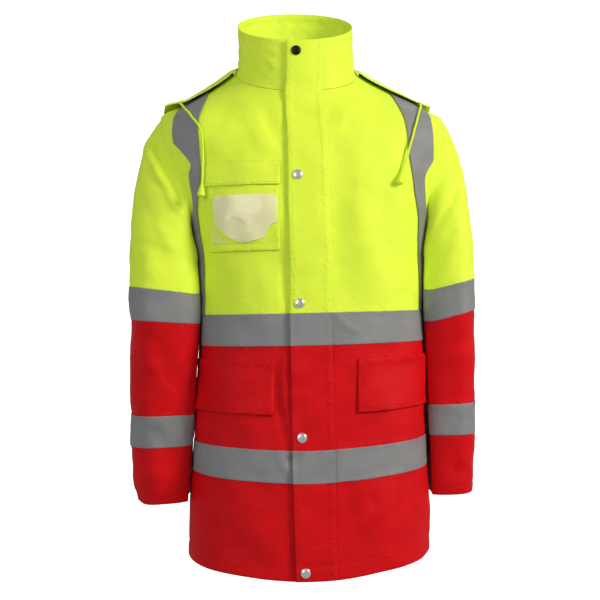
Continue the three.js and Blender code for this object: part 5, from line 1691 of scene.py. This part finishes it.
def build_stage():
    """A pale floor that curves up into a wall behind, a large soft key light on the photo's right, a weaker one
    on its left, and a soft one behind."""
    depth = np.concatenate([np.linspace(-4.5, 1.6, 12), 1.6 + 1.2 * np.sin(np.linspace(0.1, 1, 14) * np.pi / 2),
                            np.full(6, 2.8)])
    height = np.concatenate([np.zeros(12), 1.2 * (1 - np.cos(np.linspace(0.1, 1, 14) * np.pi / 2)),
                             np.linspace(1.8, 5, 6)])
    across = np.linspace(-6, 6, 3)
    points = np.stack([
        np.broadcast_to(across[None, :], (32, 3)),
        np.broadcast_to(depth[:, None], (32, 3)),
        np.broadcast_to(height[:, None] - 1.05, (32, 3)),
    ], axis=-1).reshape(-1, 3)
    i, j = np.meshgrid(np.arange(31), np.arange(2), indexing="ij")
    a = (i * 3 + j).ravel()
    faces = np.stack([a, a + 1, a + 4, a + 3], -1)
    mesh = bpy.data.meshes.new("stage_floor")
    mesh.from_pydata(points.tolist(), [], faces.tolist())
    mesh.polygons.foreach_set("use_smooth", np.ones(len(faces), dtype=bool))
    floor = bpy.data.objects.new("stage_floor", mesh)
    bpy.context.scene.collection.objects.link(floor)
    material, tree, principled = shader("Pale floor")
    principled.inputs["Base Color"].default_value = (0.93, 0.93, 0.93, 1)
    principled.inputs["Roughness"].default_value = 0.9
    principled.inputs["Emission Color"].default_value = (1, 1, 1, 1)
    principled.inputs["Emission Strength"].default_value = 0.72
    mesh.materials.append(material)
    floor.visible_diffuse = False
    floor.visible_glossy = False
    world = bpy.data.worlds.new("Studio")
    world.use_nodes = True
    world.node_tree.nodes["Background"].inputs["Color"].default_value = (1, 1, 1, 1)
    world.node_tree.nodes["Background"].inputs["Strength"].default_value = 0.34
    bpy.context.scene.world = world
    lamps = (
        ("Key light", (2.3, -1.6, 0.8), 0.8, 66, (1, 0.93, 0.82)),
        ("Left light", (-1.6, -2.4, 0.5), 1.6, 22, (0.94, 1, 0.93)),
        ("Back light", (0.4, 2.2, 1.2), 1.4, 12, (1, 1, 1)),
    )
    for name, place, size, power, colour in lamps:
        light = bpy.data.lights.new(name, "AREA")
        light.size = size
        light.energy = power
        light.color = colour
        lamp = bpy.data.objects.new(name, light)
        way = Vector((0, 0, -0.35)) - Vector(place)
        lamp.matrix_world = Matrix.Translation(place) @ way.to_track_quat("-Z", "Y").to_matrix().to_4x4()
        bpy.context.scene.collection.objects.link(lamp)
    bpy.context.scene.view_settings.view_transform = "Standard"


# Add-on

class JacketSizes(bpy.types.PropertyGroup):
    """Sizes that a user can change."""
    fold_strength: bpy.props.FloatProperty(
        name="Fold strength", description="How deep the folds and ripples of the cloth are", default=1.4,
        min=0.0, max=2.0, subtype="FACTOR")


class JacketColours(bpy.types.PropertyGroup):
    """Colours that a user can change."""
    yellow: bpy.props.FloatVectorProperty(
        name="Yellow", description="Cloth above the chest tape", subtype="COLOR", size=3, min=0, max=1,
        default=(0.78, 0.99, 0.055))
    red: bpy.props.FloatVectorProperty(
        name="Red", description="Cloth below the chest tape", subtype="COLOR", size=3, min=0, max=1,
        default=(0.66, 0.004, 0.008))
    tape: bpy.props.FloatVectorProperty(
        name="Tape", description="Reflective tape", subtype="COLOR", size=3, min=0, max=1,
        default=(0.24, 0.245, 0.255))
    steel: bpy.props.FloatVectorProperty(
        name="Snap", description="Bright snap caps", subtype="COLOR", size=3, min=0, max=1,
        default=(0.96, 0.95, 0.93))
    dark: bpy.props.FloatVectorProperty(
        name="Dark snap", description="Snap cap on the collar", subtype="COLOR", size=3, min=0, max=1,
        default=(0.03, 0.028, 0.02))
    # colour of the painted glare on the badge window's film
    window: bpy.props.FloatVectorProperty(
        name="Window", description="Clear window of the badge pocket", subtype="COLOR", size=3, min=0, max=1,
        default=(1.0, 0.95, 0.55))


class JACKET_OT_camera(bpy.types.Operator):
    """Place the camera as in the photo"""
    bl_idname = "jacket.camera"
    bl_label = "Place camera"

    def execute(self, context):
        place_camera()
        return {"FINISHED"}


class JACKET_OT_finishes(bpy.types.Operator):
    """Make the jacket's materials"""
    bl_idname = "jacket.finishes"
    bl_label = "Make finishes"

    def execute(self, context):
        make_finishes()
        return {"FINISHED"}


class JACKET_OT_cords(bpy.types.Operator):
    """Build both drawcords and their end caps"""
    bl_idname = "jacket.cords"
    bl_label = "Drawcords"

    def execute(self, context):
        cord("right", CORD_RIGHT)
        cord("left", CORD_LEFT)
        return {"FINISHED"}


class JACKET_OT_body(bpy.types.Operator):
    """Build the fronts and the back"""
    bl_idname = "jacket.body"
    bl_label = "Fronts and back"

    def execute(self, context):
        build_body()
        return {"FINISHED"}


class JACKET_OT_sleeves(bpy.types.Operator):
    """Build both sleeves with their tapes"""
    bl_idname = "jacket.sleeves"
    bl_label = "Sleeves"

    def execute(self, context):
        build_sleeves()
        return {"FINISHED"}


class JACKET_OT_tapes(bpy.types.Operator):
    """Build the chest, low and harness tapes"""
    bl_idname = "jacket.tapes"
    bl_label = "Tapes"

    def execute(self, context):
        build_tapes()
        build_harness()
        return {"FINISHED"}


class JACKET_OT_collar(bpy.types.Operator):
    """Build the stand collar"""
    bl_idname = "jacket.collar"
    bl_label = "Collar"

    def execute(self, context):
        build_collar()
        return {"FINISHED"}


class JACKET_OT_flap(bpy.types.Operator):
    """Build the storm flap and its snap caps"""
    bl_idname = "jacket.flap"
    bl_label = "Storm flap"

    def execute(self, context):
        build_flap()
        build_snaps()
        return {"FINISHED"}


class JACKET_OT_pockets(bpy.types.Operator):
    """Build the badge pocket and the lower pocket flaps"""
    bl_idname = "jacket.pockets"
    bl_label = "Pockets"

    def execute(self, context):
        build_badge()
        build_pocket_flaps()
        return {"FINISHED"}


class JACKET_OT_hood(bpy.types.Operator):
    """Build the hood"""
    bl_idname = "jacket.hood"
    bl_label = "Hood"

    def execute(self, context):
        build_hood()
        return {"FINISHED"}


class JACKET_OT_stitching(bpy.types.Operator):
    """Sew the lines of stitching"""
    bl_idname = "jacket.stitching"
    bl_label = "Stitching"

    def execute(self, context):
        build_stitching()
        return {"FINISHED"}


class JACKET_OT_stage(bpy.types.Operator):
    """Build the floor and the lights"""
    bl_idname = "jacket.stage"
    bl_label = "Stage"

    def execute(self, context):
        build_stage()
        return {"FINISHED"}


OPERATORS = (
    JACKET_OT_camera, JACKET_OT_finishes, JACKET_OT_cords, JACKET_OT_body, JACKET_OT_sleeves, JACKET_OT_tapes,
    JACKET_OT_collar, JACKET_OT_flap, JACKET_OT_pockets, JACKET_OT_hood, JACKET_OT_stitching, JACKET_OT_stage,
)


class JACKET_PT_panel(bpy.types.Panel):
    """The jacket's colours, sizes and pieces"""
    bl_idname = "JACKET_PT_panel"
    bl_label = "Work jacket"
    bl_space_type = "VIEW_3D"
    bl_region_type = "UI"
    bl_category = "Jacket"

    def draw(self, context):
        layout = self.layout
        for group in (context.scene.jacket_sizes, context.scene.jacket_colours):
            for name in group.bl_rna.properties.keys():
                if name not in ("rna_type", "name"):
                    layout.prop(group, name)
        for operator in OPERATORS:
            layout.operator(operator.bl_idname)


CLASSES = (JacketSizes, JacketColours, *OPERATORS, JACKET_PT_panel)


def register():
    """Register the classes and their settings."""
    for cls in CLASSES:
        bpy.utils.register_class(cls)
    bpy.types.Scene.jacket_sizes = bpy.props.PointerProperty(type=JacketSizes)
    bpy.types.Scene.jacket_colours = bpy.props.PointerProperty(type=JacketColours)


def unregister():
    """Take the classes and their settings away again."""
    del bpy.types.Scene.jacket_colours
    del bpy.types.Scene.jacket_sizes
    for cls in reversed(CLASSES):
        bpy.utils.unregister_class(cls)


def main():
    """Build the whole jacket."""
    register()
    for operator in OPERATORS:
        getattr(bpy.ops.jacket, operator.bl_idname.split(".")[1])()


if __name__ == "__main__":
    main()
